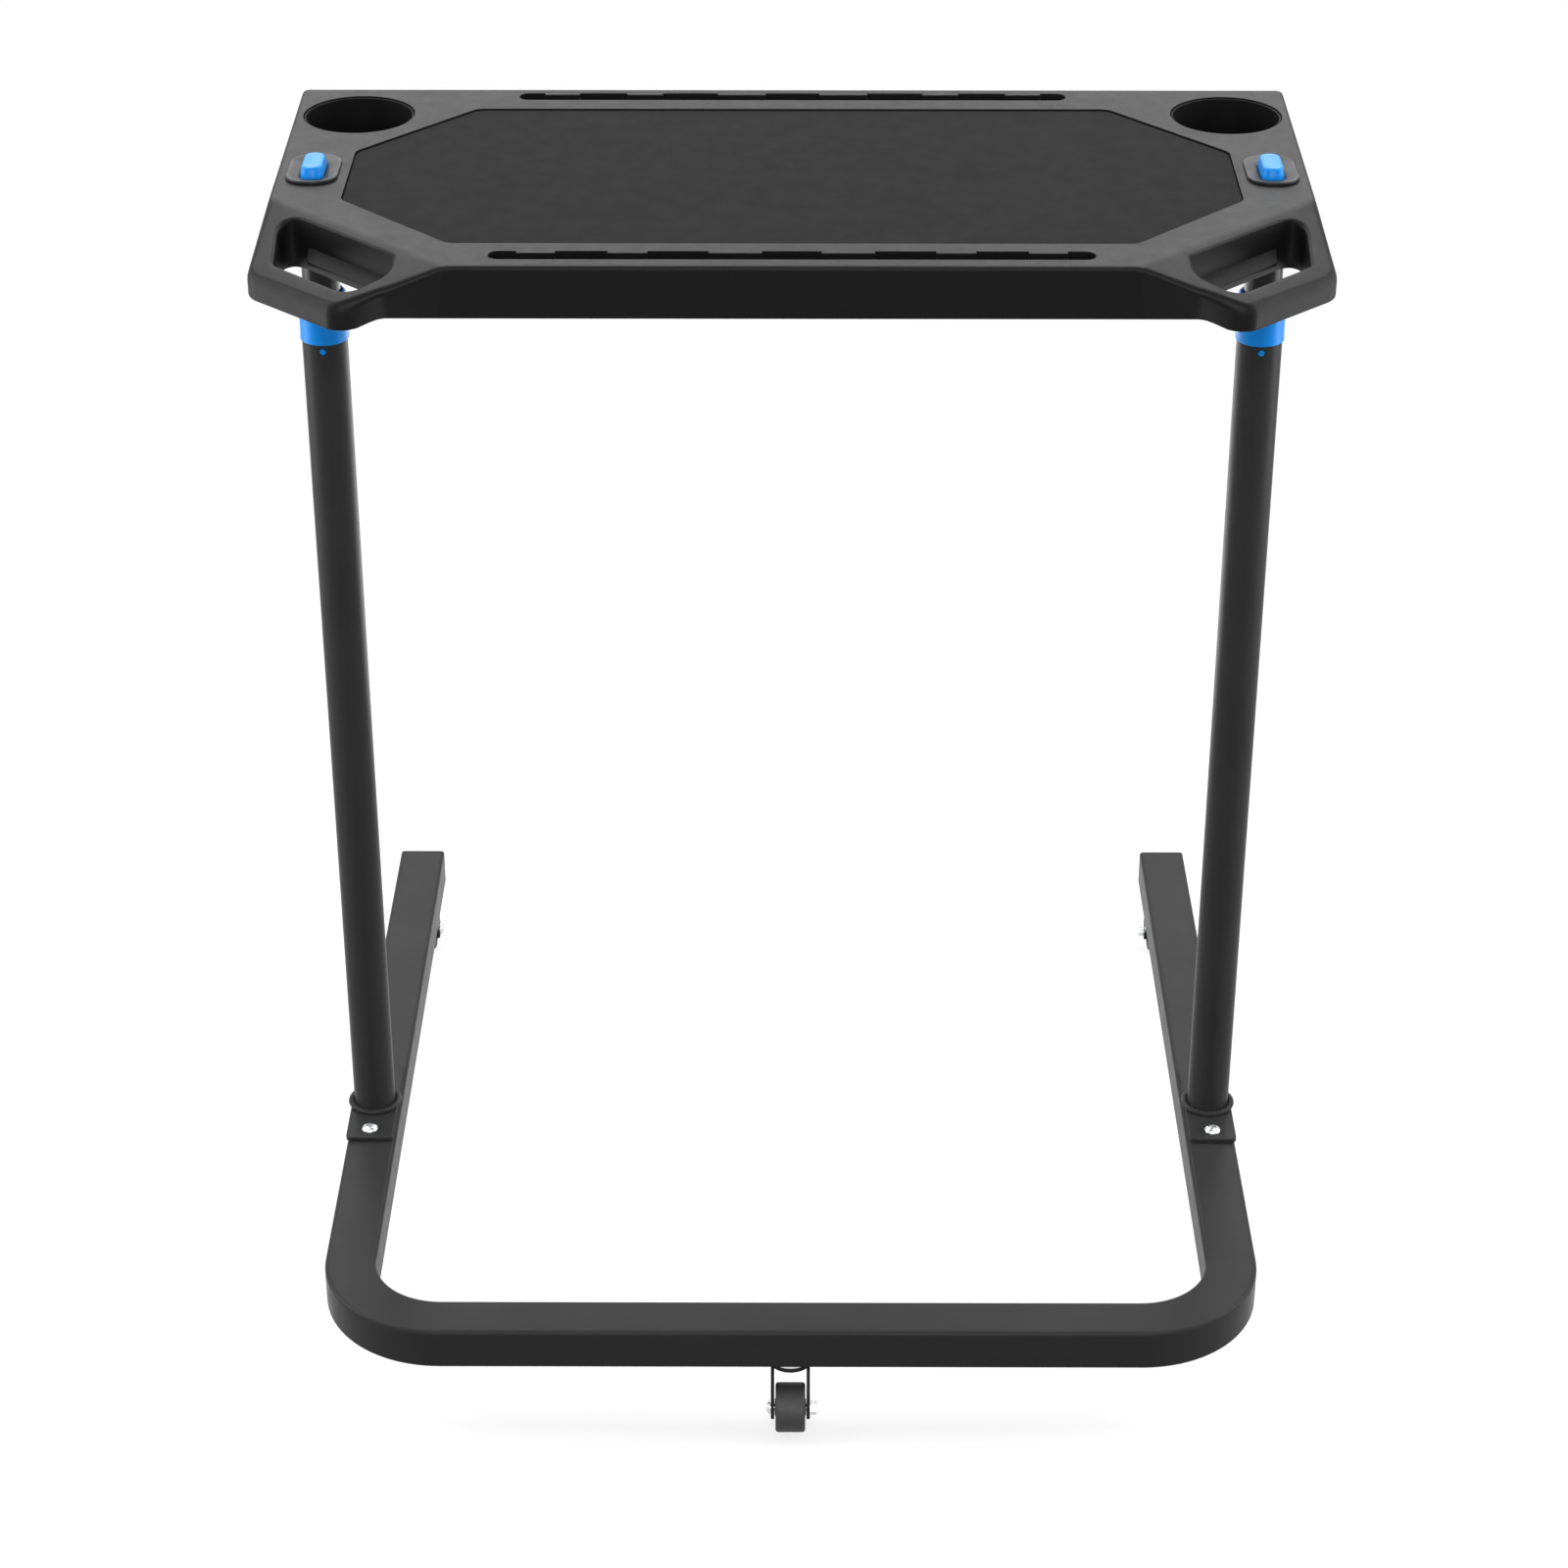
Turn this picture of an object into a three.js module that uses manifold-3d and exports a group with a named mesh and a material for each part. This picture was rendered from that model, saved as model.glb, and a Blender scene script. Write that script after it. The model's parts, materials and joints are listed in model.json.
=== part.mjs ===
// Rolling desk for use beside a bicycle trainer: a tray on two telescopic posts over a castered base.
// Millimetres, +X to the right, +Y away from the user, +Z up. Heights are measured from the floor.
// Plan places are measured from the posts' centre line until the last step centres the whole desk.

import * as THREE from "three";
import { mergeVertices } from "three/addons/utils/BufferGeometryUtils.js";
import Module from "manifold-3d";

const wasm = await Module();
wasm.setup();

// Clearances
const gap = 0.3;
const runningGap = 0.3;
const overrun = 5;

// Base frame
const casterHeight = 58;
const baseOutset = 19;
const baseNear = 320;
const baseFar = 439;
const barWidth = 42;
const barHeight = 36;
const barWall = 2.5;
const barEdgeRadius = 3;
const cornerRadius = 100;
const endCapThickness = 3;
const endPlugDepth = 18;
const weldNutRadius = 9;
const weldNutHeight = 8;

// Posts
const postInset = 27;
const outerTubeRadius = 17.7;
const outerTubeWall = 1.6;
const outerTubeLength = 752;
const weldLeg = 5;
const innerTubeRadius = 14.5;
const innerTubeWall = 1.8;
const innerTubeRise = 22;
const glideHeight = 40;
const glideFloor = 3;

// Foot plates and their bolts
const footPlateWidth = 40;
const footPlateMargin = 12;
const footPlateThickness = 4;
const footBoltSpacing = 88;
const footBoltRadius = 4;
const footBoltLength = 17;
const footBoltHeadRadius = 7;
const footBoltHeadHeight = 4.4;
const footBoltSocketRadius = 2.9;
const footBoltSocketDepth = 2.4;

// Height lock
const lockPinRadius = 4.5;
const lockPinRise = 70;
const lockPinBack = 6.8;
const lockTravel = 5;
const detentPitch = 25;
const detentRadius = 5;
const liftTravel = 375;
const rodRadius = 3;
const bladeThickness = 3;
const bladeHalfWidth = 1.5;
const bladeLead = 3;
const footBarHeight = 3;
const footBarWidth = 5;

// Collars
const collarRadius = 19;
const collarHeight = 39;
const collarCover = 36.6;
const collarRim = 5;
const collarEdge = 1.5;
const sleeveDrop = 52;
const nubRadius = 2.6;
const nubDrop = 5.5;

// Tray
const trayRise = 99.4;
const traySkirt = 41;
const trayTopThickness = 4;
const trayWall = 3;
const trayEdgeRadius = 3;
const trayHalfWaist = 390;
const backFlare = 3.5;
const handleFlare = 7;
const noseInset = 71;
const creaseWidth = 144;
const creaseDepth = 139;
const trayBack = 190;
const trayFront = 200;
const handleCornerBack = 43;
const noseReach = 22;
const handleFall = 22.5;
const handleReach = 72.5;
const handleLipReach = 20;
const handleLipDrop = 31;
const backCornerRadius = 6;
const handleCornerRadius = 22;
const noseRadius = 14;
const shoulderRadius = 24;

// Cup wells
const cupSideInset = 51.5;
const cupBackInset = 62;
const cupRadius = 43.8;
const cupWall = 2;
const cupDepth = 60;
const cupBottomRadius = 36;
const cupFlangeWidth = 3.5;
const cupFlangeThickness = 2;

// Device slots
const slotCupClearance = 79.7;
const slotWidth = 17;
const slotDepth = 22;
const slotCorner = 8;
const slotFloor = 3;
const backSlotInset = 18.5;
const frontSlotInset = 23.5;
const toothDepth = 4;
const toothShares = [[0.1, 0.272], [0.477, 0.604], [0.781, 0.905]];

// Mat
const matSideInset = 55;
const matCornerWidth = 86;
const matBackCornerDepth = 99;
const matFrontCornerDepth = 89;
const matBackClearance = 30.5;
const matFrontClearance = 24.5;
const matThickness = 1.4;
const matSink = 1.2;
const matMargin = 1.2;
const matCornerRadius = 12;

// Buttons and bezels
const buttonWidth = 17.5;
const buttonDepth = 40;
const buttonRise = 8;
const buttonBelow = 9;
const buttonCorner = 7.5;
const buttonEdge = 1.5;
const buttonTopShare = 0.86;
const buttonFlange = 2;
const buttonFlangeHeight = 2;
const bezelWidth = 41.5;
const bezelDepth = 66;
const bezelCorner = 16;
const bezelFrontHeight = 4.2;
const bezelBackHeight = 1.2;
const bezelSleeveWall = 2;
const bezelFunnel = 6;
const buttonSpringRadius = 6.2;
const springWire = 1.2;
const springTurns = 5;
const rodSocketDepth = 12;

// Tray brackets
const bracketInner = 46;
const bracketOuter = 21;
const bracketHalfDepth = 42;
const bracketThickness = 3;
const bracketDrop = 30;
const bracketSocketHeight = 8;
const bracketSocketWall = 2.5;
const bracketScrewInner = 34;
const bracketScrewDepth = 30;
const screwRadius = 2;
const screwLength = 14;
const screwHeadRadius = 4;
const screwHeadHeight = 2.6;
const bossRadius = 5.5;

// Casters
const rearCasterInset = 47;
const casterTrail = 22;
const wheelRadius = 20;
const wheelWidth = 24;
const tyreThickness = 5.5;
const tyreShoulder = 2;
const axleRadius = 3;
const hubBossRadius = 7;
const forkInnerHalf = 13;
const forkCheek = 2.8;
const forkEye = 8;
const forkBackShare = 0.6;
const forkFrontShare = 0.9;
const forkTopRadius = 18;
const forkTopThickness = 3;
const racewayRadius = 17;
const racewayThickness = 3.6;
const racewayEdge = 1.2;
const kingpinRadius = 4;
const kingpinHeadRadius = 7;
const kingpinHeadHeight = 2.2;
const stemRadius = 5;
const stemLength = 13;
const axleHeadRadius = 5.5;
const axleHeadHeight = 3;
const axleNutRadius = 6;
const axleNutHeight = 5;

// Heights and places that follow
const baseTop = casterHeight + barHeight;
const footPlateBottom = baseTop + gap;
const footPlateDepth = footBoltSpacing + 2 * footPlateMargin;
const footPlateTop = footPlateBottom + footPlateThickness;
const outerTubeBottom = footPlateTop + gap;
const outerTubeBore = outerTubeRadius - outerTubeWall;
const outerTubeTop = outerTubeBottom + outerTubeLength;
const innerTubeBore = innerTubeRadius - innerTubeWall;
const innerTubeBottom = footPlateTop + innerTubeRise;
const lockPinHeight = innerTubeBottom + lockPinRise;
const trayTop = outerTubeTop + trayRise;
const traySkirtBottom = trayTop - traySkirt;
const trayUnderside = trayTop - trayTopThickness;
const bracketTop = trayTop - bracketDrop;
const bracketBottom = bracketTop - bracketThickness;
const innerTubeTop = bracketBottom - gap;
const collarBottom = outerTubeTop - collarCover;
const postX = trayHalfWaist - postInset;
const baseHalfWidth = postX + baseOutset;
const buttonBottom = trayTop - buttonBelow - gap - buttonFlangeHeight;
const frontCasterPlace = barWidth / 2 - baseNear;
const rearCasterPlace = baseFar - rearCasterInset;
const legX = baseHalfWidth - barWidth / 2;
const trayHalfBack = trayHalfWaist + backFlare;
const trayHalfHandle = trayHalfWaist + handleFlare;
const trayHalfFront = trayHalfWaist - creaseWidth;
const noseHalf = trayHalfHandle - noseInset;
const waistFront = trayFront - creaseDepth;
const handleCornerFront = trayFront - handleCornerBack;
const noseFront = trayFront + noseReach;
const cupHalfSpacing = trayHalfBack - cupSideInset;
const cupBack = trayBack - cupBackInset;
const slotHalfLength = cupHalfSpacing - cupRadius - slotCupClearance;
const backSlotPlace = trayBack - backSlotInset;
const frontSlotPlace = trayFront - frontSlotInset;
const matHalfWidth = trayHalfWaist - matSideInset;
const matHalfLong = matHalfWidth - matCornerWidth;
const matBack = backSlotPlace - matBackClearance;
const matFront = frontSlotPlace - matFrontClearance;
const matSideBack = matBack - matBackCornerDepth;
const matSideFront = matFront - matFrontCornerDepth;
const matBottom = trayTop - matSink - matThickness;
const sides = [["left", -1], ["right", 1]];

// Finishes
const finish = (color, roughness, metalness) => (
  new THREE.MeshStandardMaterial({ color, roughness, metalness }));
const finishes = {
  tray: () => finish(0x66676a, 0.62, 0),
  mat: () => finish(0x3a3b3d, 0.9, 0),
  blackPlastic: () => finish(0x17181a, 0.6, 0),
  blackSteel: () => finish(0x1b1c1f, 0.42, 0.2),
  innerSteel: () => finish(0x2a2b2e, 0.35, 0.4),
  blue: () => finish(0x1c86e0, 0.4, 0),
  zinc: () => finish(0xb9bcc0, 0.32, 1),
  rubber: () => finish(0x141414, 0.85, 0),
};

// Solids and meshes
function solid(geometry) {
  const bare = new THREE.BufferGeometry();
  bare.setAttribute("position", geometry.getAttribute("position"));
  if (geometry.index) bare.setIndex(geometry.index);
  const merged = mergeVertices(bare, gap / 1000);
  return new wasm.Manifold(new wasm.Mesh({
    numProp: 3,
    vertProperties: new Float32Array(merged.getAttribute("position").array),
    triVerts: new Uint32Array(merged.index.array),
  }));
}

function meshOf(name, body, material) {
  const { vertProperties, triVerts, numProp } = body.getMesh();
  const places = new Float32Array((vertProperties.length / numProp) * 3);
  for (let i = 0; i < places.length / 3; i += 1) {
    places.set(vertProperties.subarray(i * numProp, i * numProp + 3), i * 3);
  }
  const geometry = new THREE.BufferGeometry();
  geometry.setAttribute("position", new THREE.BufferAttribute(places, 3));
  geometry.setIndex(new THREE.BufferAttribute(new Uint32Array(triVerts), 1));
  const flat = geometry.toNonIndexed();
  flat.computeVertexNormals();
  const mesh = new THREE.Mesh(flat, material);
  mesh.name = name;
  return mesh;
}

const joined = (bodies) => bodies.reduce((sum, body) => sum.add(body));
const cutBy = (body, tools) => tools.reduce((left, tool) => left.subtract(tool), body);
const moved = (geometry, x, y, z) => geometry.translate(x, y, z);

function block(x0, x1, y0, y1, z0, z1) {
  const box = new THREE.BoxGeometry(x1 - x0, y1 - y0, z1 - z0);
  return solid(moved(box, (x0 + x1) / 2, (y0 + y1) / 2, (z0 + z1) / 2));
}

function rod(radius, z0, z1, x = 0, y = 0, segments = 24) {
  const shaft = new THREE.CylinderGeometry(radius, radius, z1 - z0, segments);
  shaft.rotateX(Math.PI / 2);
  return solid(moved(shaft, x, y, (z0 + z1) / 2));
}

// A rod along X or Y, from one end to the other at a height
function crossRod(radius, from, to, along, height, segments = 20) {
  const shaft = new THREE.CylinderGeometry(radius, radius, to - from, segments);
  if (along === "x") shaft.rotateZ(Math.PI / 2);
  const middle = (from + to) / 2;
  return solid(moved(shaft, along === "x" ? middle : 0, along === "y" ? middle : 0, height));
}

function hexRod(radius, z0, z1) {
  return rod(radius, z0, z1, 0, 0, 6);
}

// A body turned from a closed profile of [radius, height] points
function turned(profile, segments = 32) {
  const points = [...profile, profile[0]].map(([r, z]) => new THREE.Vector2(r, z));
  const lathe = new THREE.LatheGeometry(points, segments);
  lathe.rotateX(Math.PI / 2);
  const body = solid(lathe);
  if (body.volume() > 0) return body;
  const index = lathe.index.array;
  for (let i = 0; i < index.length; i += 3) [index[i], index[i + 1]] = [index[i + 1], index[i]];
  return solid(lathe);
}

function tube(outer, inner, z0, z1, segments = 32) {
  return turned([[inner, z0], [outer, z0], [outer, z1], [inner, z1]], segments);
}

// A closed outline whose corners are rounded, from [x, y, radius] points in order
function roundedOutline(points) {
  const shape = new THREE.Shape();
  const at = (i) => points[(i + points.length) % points.length];
  points.forEach(([x, y, radius = 0], i) => {
    const corner = new THREE.Vector2(x, y);
    const before = new THREE.Vector2(at(i - 1)[0], at(i - 1)[1]).sub(corner);
    const after = new THREE.Vector2(at(i + 1)[0], at(i + 1)[1]).sub(corner);
    const halfAngle = Math.abs(before.angleTo(after)) / 2;
    const setback = Math.min(radius / Math.tan(halfAngle), before.length() / 2, after.length() / 2);
    const start = corner.clone().add(before.setLength(setback));
    const end = corner.clone().add(after.setLength(setback));
    if (i === 0) shape.moveTo(start.x, start.y);
    else shape.lineTo(start.x, start.y);
    if (radius > 0) shape.quadraticCurveTo(x, y, end.x, end.y);
  });
  shape.closePath();
  return shape;
}

function boxOutline(width, depth, radius, x = 0, y = 0) {
  const [w, d] = [width / 2, depth / 2];
  const corners = [[-w, -d], [w, -d], [w, d], [-w, d]];
  return roundedOutline(corners.map(([dx, dy]) => [x + dx, y + dy, radius]));
}

// An upright prism on an outline, with an optional rounded edge at top and bottom
function prism(shape, z0, z1, edge = 0, curveSegments = 5) {
  const rounded = edge > 0;
  const geometry = new THREE.ExtrudeGeometry(shape, {
    depth: z1 - z0 - 2 * edge,
    bevelEnabled: rounded,
    bevelThickness: edge,
    bevelSize: edge,
    bevelOffset: -edge,
    bevelSegments: 2,
    curveSegments,
  });
  return solid(moved(geometry, 0, 0, z0 + edge));
}

// The outline of a mirrored piece: its left half from back to front, then the right half
function mirroredOutline(leftHalf) {
  const right = leftHalf.map(([x, y, radius]) => [-x, y, radius]).reverse();
  return roundedOutline([...leftHalf, ...right]);
}

// Base frame
function baseOutline(inset, overshoot) {
  const half = baseHalfWidth - inset;
  const near = inset - baseNear;
  const radius = cornerRadius - inset;
  const innerHalf = baseHalfWidth - barWidth + inset;
  const innerNear = barWidth - baseNear - inset;
  const innerRadius = cornerRadius - barWidth + inset;
  const far = baseFar - endCapThickness + overshoot;
  const shape = new THREE.Shape();
  shape.moveTo(-half, far);
  shape.lineTo(-half, near + radius);
  shape.absarc(radius - half, near + radius, radius, Math.PI, 1.5 * Math.PI, false);
  shape.lineTo(half - radius, near);
  shape.absarc(half - radius, near + radius, radius, 1.5 * Math.PI, 2 * Math.PI, false);
  shape.lineTo(half, far);
  shape.lineTo(innerHalf, far);
  shape.lineTo(innerHalf, innerNear + innerRadius);
  shape.absarc(innerHalf - innerRadius, innerNear + innerRadius, innerRadius, 0, -Math.PI / 2, true);
  shape.lineTo(innerRadius - innerHalf, innerNear);
  shape.absarc(innerRadius - innerHalf, innerNear + innerRadius, innerRadius, -Math.PI / 2, -Math.PI, true);
  shape.lineTo(-innerHalf, far);
  shape.closePath();
  return shape;
}

const casterPlaces = [
  ["front", 0, frontCasterPlace, -1],
  ["rear_left", -legX, rearCasterPlace, 1],
  ["rear_right", legX, rearCasterPlace, 1],
];

function baseFrame() {
  const long = overrun + barEdgeRadius;
  const skin = prism(baseOutline(0, long), casterHeight, baseTop, barEdgeRadius, 9);
  const hollow = prism(baseOutline(barWall, 2 * long), casterHeight + barWall, baseTop - barWall, 0, 9);
  const endCut = block(-baseHalfWidth - overrun, baseHalfWidth + overrun, baseFar - endCapThickness - gap,
    baseFar + 3 * long, casterHeight - overrun, baseTop + overrun);
  let body = cutBy(skin, [hollow, endCut]);
  const bolts = sides.flatMap(([, side]) => [-1, 1].map(
    (end) => [side * postX, (end * footBoltSpacing) / 2]));
  for (const [x, y] of bolts) {
    body = body.add(rod(weldNutRadius, baseTop - barWall - weldNutHeight, baseTop - barWall / 2, x, y, 6));
    const wallTop = casterHeight + barWall + overrun;
    body = body.subtract(rod(footBoltRadius + gap, wallTop, baseTop + overrun, x, y));
  }
  for (const [, x, y] of casterPlaces) {
    const nutTop = casterHeight + barWall + weldNutHeight;
    body = body.add(rod(weldNutRadius, casterHeight + barWall / 2, nutTop, x, y, 6));
    body = body.subtract(rod(stemRadius + gap, casterHeight - overrun, nutTop + overrun, x, y));
  }
  return body;
}

function endCap(side) {
  const plugWidth = barWidth - 2 * (barWall + gap);
  const plugHeight = barHeight - 2 * (barWall + gap);
  const upright = (width, height, edge, from, to) => {
    const shape = boxOutline(width, height, edge);
    const geometry = new THREE.ExtrudeGeometry(shape, {
      depth: to - from, bevelEnabled: false, curveSegments: 4,
    });
    geometry.rotateX(Math.PI / 2);
    return solid(moved(geometry, side * legX, to, casterHeight + barHeight / 2));
  };
  const face = baseFar - endCapThickness;
  const plug = upright(plugWidth, plugHeight, barWall, face - endPlugDepth, face + endCapThickness / 2);
  return upright(barWidth, barHeight, barEdgeRadius, face, baseFar).add(plug);
}

// Foot plate and its bolts
function footPlate() {
  const plate = prism(boxOutline(footPlateWidth, footPlateDepth, weldLeg), footPlateBottom, footPlateTop);
  const holes = [-1, 1].map((end) => (
    rod(footBoltRadius + gap, baseTop - overrun, footPlateTop + overrun, 0, (end * footBoltSpacing) / 2)));
  return cutBy(plate, holes);
}

// A button head's profile, as shares of its radius and its height
const screwHeadShares = [[1, 0], [1, 0.35], [0.82, 0.8], [0.5, 1], [0, 1]];

// A button-head screw with its seat at height zero, its shank below and a hexagon socket in its head
function buttonHeadScrew(radius, length, headRadius, headHeight, socketRadius, socketDepth, segments) {
  const body = turned([
    [0, -length], [radius, -length], [radius, 0],
    ...screwHeadShares.map(([across, up]) => [across * headRadius, up * headHeight]),
  ], segments);
  return body.subtract(hexRod(socketRadius, headHeight - socketDepth, headHeight + overrun));
}

const footBolt = () => buttonHeadScrew(footBoltRadius, footBoltLength, footBoltHeadRadius,
  footBoltHeadHeight, footBoltSocketRadius, footBoltSocketDepth, 20);

// Posts
function outerTube() {
  const bore = outerTubeBore;
  const foot = outerTubeBottom;
  let body = turned([[bore, foot], [outerTubeRadius + weldLeg, foot], [outerTubeRadius, foot + weldLeg],
    [outerTubeRadius, outerTubeTop], [bore, outerTubeTop]], 28);
  const detents = Math.round(liftTravel / detentPitch);
  for (let i = 0; i <= detents; i += 1) {
    const height = lockPinHeight + i * detentPitch;
    body = body.subtract(crossRod(detentRadius, 0, outerTubeRadius + overrun, "y", height, 10));
  }
  const nubHeight = collarBottom - nubDrop;
  return body.subtract(crossRod(nubRadius + gap, -outerTubeRadius - overrun, 0, "y", nubHeight, 12));
}

function collar() {
  const tubeSeat = outerTubeTop + gap;
  const sleeveOuter = outerTubeBore - gap;
  const sleeveInner = innerTubeRadius + runningGap;
  const top = collarBottom + collarHeight;
  const tubeSide = outerTubeRadius + gap;
  const body = turned([
    [sleeveInner, top - sleeveDrop], [sleeveOuter, top - sleeveDrop], [sleeveOuter, tubeSeat],
    [tubeSide, tubeSeat], [tubeSide, collarBottom],
    [collarRadius, collarBottom], [collarRadius, top - collarRim],
    [collarRadius - collarEdge, top], [sleeveInner + collarEdge, top], [sleeveInner, top - collarEdge],
  ], 32);
  const nubInner = sleeveOuter - (sleeveOuter - sleeveInner) / 2;
  return body.add(crossRod(nubRadius, -outerTubeRadius - gap, -nubInner, "y", collarBottom - nubDrop, 12));
}

function innerTube() {
  const body = tube(innerTubeRadius, innerTubeBore, innerTubeBottom, innerTubeTop, 32);
  const reach = innerTubeRadius + overrun;
  return body.subtract(crossRod(lockPinRadius + runningGap, 0, reach, "y", lockPinHeight));
}

function glide() {
  const outer = outerTubeBore - runningGap;
  const inner = innerTubeRadius + gap;
  const floor = innerTubeBottom - gap;
  return turned([[0, floor - glideFloor], [outer, floor - glideFloor], [outer, floor + glideHeight],
    [inner, floor + glideHeight], [inner, floor], [0, floor]], 32);
}

// Height lock: a slanted blade on the push rod draws the lock pin back as the button goes down
function slantedBlade(halfWidth, thickness, upper, lower) {
  const shape = new THREE.Shape();
  const slant = halfWidth * Math.SQRT2;
  shape.moveTo(bladeLead - upper - slant, upper);
  shape.lineTo(bladeLead - upper + slant, upper);
  shape.lineTo(bladeLead - lower + slant, lower);
  shape.lineTo(bladeLead - lower - slant, lower);
  shape.closePath();
  const geometry = new THREE.ExtrudeGeometry(shape, { depth: thickness, bevelEnabled: false });
  geometry.applyMatrix4(new THREE.Matrix4().makeBasis(
    new THREE.Vector3(0, 1, 0), new THREE.Vector3(0, 0, 1), new THREE.Vector3(1, 0, 0)));
  return solid(moved(geometry, -thickness / 2, 0, lockPinHeight));
}

function lockPin() {
  const pinReach = Math.sqrt((outerTubeBore - gap) ** 2 - lockPinRadius ** 2);
  const body = crossRod(lockPinRadius, -lockPinBack, pinReach, "y", lockPinHeight);
  const tall = lockPinRadius + overrun;
  const thick = bladeThickness + 2 * runningGap;
  return body.subtract(slantedBlade(bladeHalfWidth + runningGap, thick, tall, -tall));
}

function pushRod() {
  const barBottom = lockPinRadius + lockTravel + 2 * runningGap;
  const barTop = barBottom + footBarHeight;
  const barBack = bladeLead - barBottom - bladeHalfWidth * Math.SQRT2;
  const bladeTop = barBottom + footBarHeight / 2;
  const blade = slantedBlade(bladeHalfWidth, bladeThickness, bladeTop, -lockPinRadius - runningGap);
  const footBar = block(-footBarWidth / 2, footBarWidth / 2, barBack, rodRadius,
    lockPinHeight + barBottom, lockPinHeight + barTop);
  const shaftTop = buttonBottom + rodSocketDepth - gap;
  const shaft = rod(rodRadius, lockPinHeight + bladeTop, shaftTop, 0, 0, 16);
  return joined([blade, footBar, shaft]);
}

// Tray
const leftHalf = (points) => points.map(([x, y, radius]) => [-x, y, radius]);

function trayOutline() {
  return mirroredOutline(leftHalf([
    [trayHalfBack, trayBack, backCornerRadius], [trayHalfWaist, -waistFront, shoulderRadius],
    [trayHalfHandle, -handleCornerFront, handleCornerRadius], [noseHalf, -noseFront, noseRadius],
    [trayHalfFront, -trayFront, shoulderRadius],
  ]));
}

// A block that reaches out from the crease of a handle, tilted down by a fall angle
function creaseBlock(side, reach, bottom, height, fall) {
  const geometry = new THREE.BoxGeometry(2 * Math.hypot(creaseWidth, creaseDepth), reach, height);
  moved(geometry, 0, reach / 2, height / 2);
  geometry.rotateX(-fall);
  geometry.rotateZ(Math.PI + side * Math.atan2(creaseDepth, creaseWidth));
  const [middleX, middleY] = [(side * (trayHalfWaist + trayHalfFront)) / 2, -(waistFront + trayFront) / 2];
  return solid(moved(geometry, middleX, middleY, bottom));
}

const handleFallCut = (side) => (
  creaseBlock(side, 2 * handleReach, trayTop, traySkirt, Math.atan2(handleFall, handleReach)));

// The hand hole's corners, as shares of the handle's width, depth and corner radius
const handleHoleShares = [
  [0.881, 0.118, 0.7], [0.858, 0.553, 0.3], [0.466, 0.904, 0.7], [0.281, 0.816, 0.61], [0.281, 0.66, 0.25],
];

function handleHole(side) {
  const width = trayHalfHandle - trayHalfFront;
  const depth = noseFront - waistFront;
  const points = handleHoleShares.map(([across, along, round]) => [
    side * (trayHalfFront + across * width),
    -(waistFront + along * depth),
    round * handleCornerRadius,
  ]);
  if (side > 0) points.reverse();
  const hole = prism(roundedOutline(points), traySkirtBottom - overrun, trayTop + overrun, 0, 6);
  const lipBottom = trayTop - handleLipDrop - trayWall;
  return hole.subtract(creaseBlock(side, handleLipReach, lipBottom, trayWall, 0));
}

function trayCavity() {
  const creaseBack = trayWall * Math.SQRT2;
  const outline = mirroredOutline(leftHalf([
    [trayHalfBack - trayWall, trayBack - trayWall, backCornerRadius - trayWall],
    [trayHalfWaist - trayWall, creaseBack - waistFront, 0],
    [trayHalfFront, trayWall + creaseBack - trayFront, 0],
    [trayHalfFront - 2 * creaseBack, trayWall - trayFront, 0],
  ]));
  return prism(outline, traySkirtBottom - overrun, trayUnderside);
}

function slotBlock(place) {
  const half = slotHalfLength + trayWall;
  const reach = slotWidth / 2 + trayWall;
  const margin = reach + trayWall;
  const [front, back] = place > 0 ? [place - reach, place + margin] : [place - margin, place + reach];
  return block(-half, half, front, back, trayTop - slotDepth - slotFloor, trayTop - trayTopThickness / 2);
}

function slotCut(place) {
  const outline = boxOutline(2 * slotHalfLength, slotWidth, slotCorner, 0, place);
  return prism(outline, trayTop - slotDepth, trayTop + overrun);
}

function slotTeeth(place) {
  const far = place + slotWidth / 2;
  return sides.flatMap(([, side]) => toothShares.map((ends) => {
    const [x0, x1] = ends.map((share) => side * share * slotHalfLength).sort((a, b) => a - b);
    const bottom = trayTop - slotDepth - slotFloor / 2;
    return block(x0, x1, far - toothDepth, far + trayWall / 2, bottom, trayTop);
  }));
}

function bracketScrewPlaces(side) {
  return [-1, 1].map((end) => [side * (postX - bracketScrewInner), end * bracketScrewDepth]);
}

function matOutline(margin) {
  return mirroredOutline(leftHalf([
    [matHalfLong + margin / 2, matBack + margin, matCornerRadius],
    [matHalfWidth + margin, matSideBack + margin / 2, matCornerRadius],
    [matHalfWidth + margin, -matSideFront - margin / 2, matCornerRadius],
    [matHalfLong + margin / 2, -matFront - margin, matCornerRadius],
  ]));
}

const bezelSleeveWidth = buttonWidth + 2 * (runningGap + bezelSleeveWall);
const bezelSleeveDepth = buttonDepth + 2 * (runningGap + bezelSleeveWall);

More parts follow.
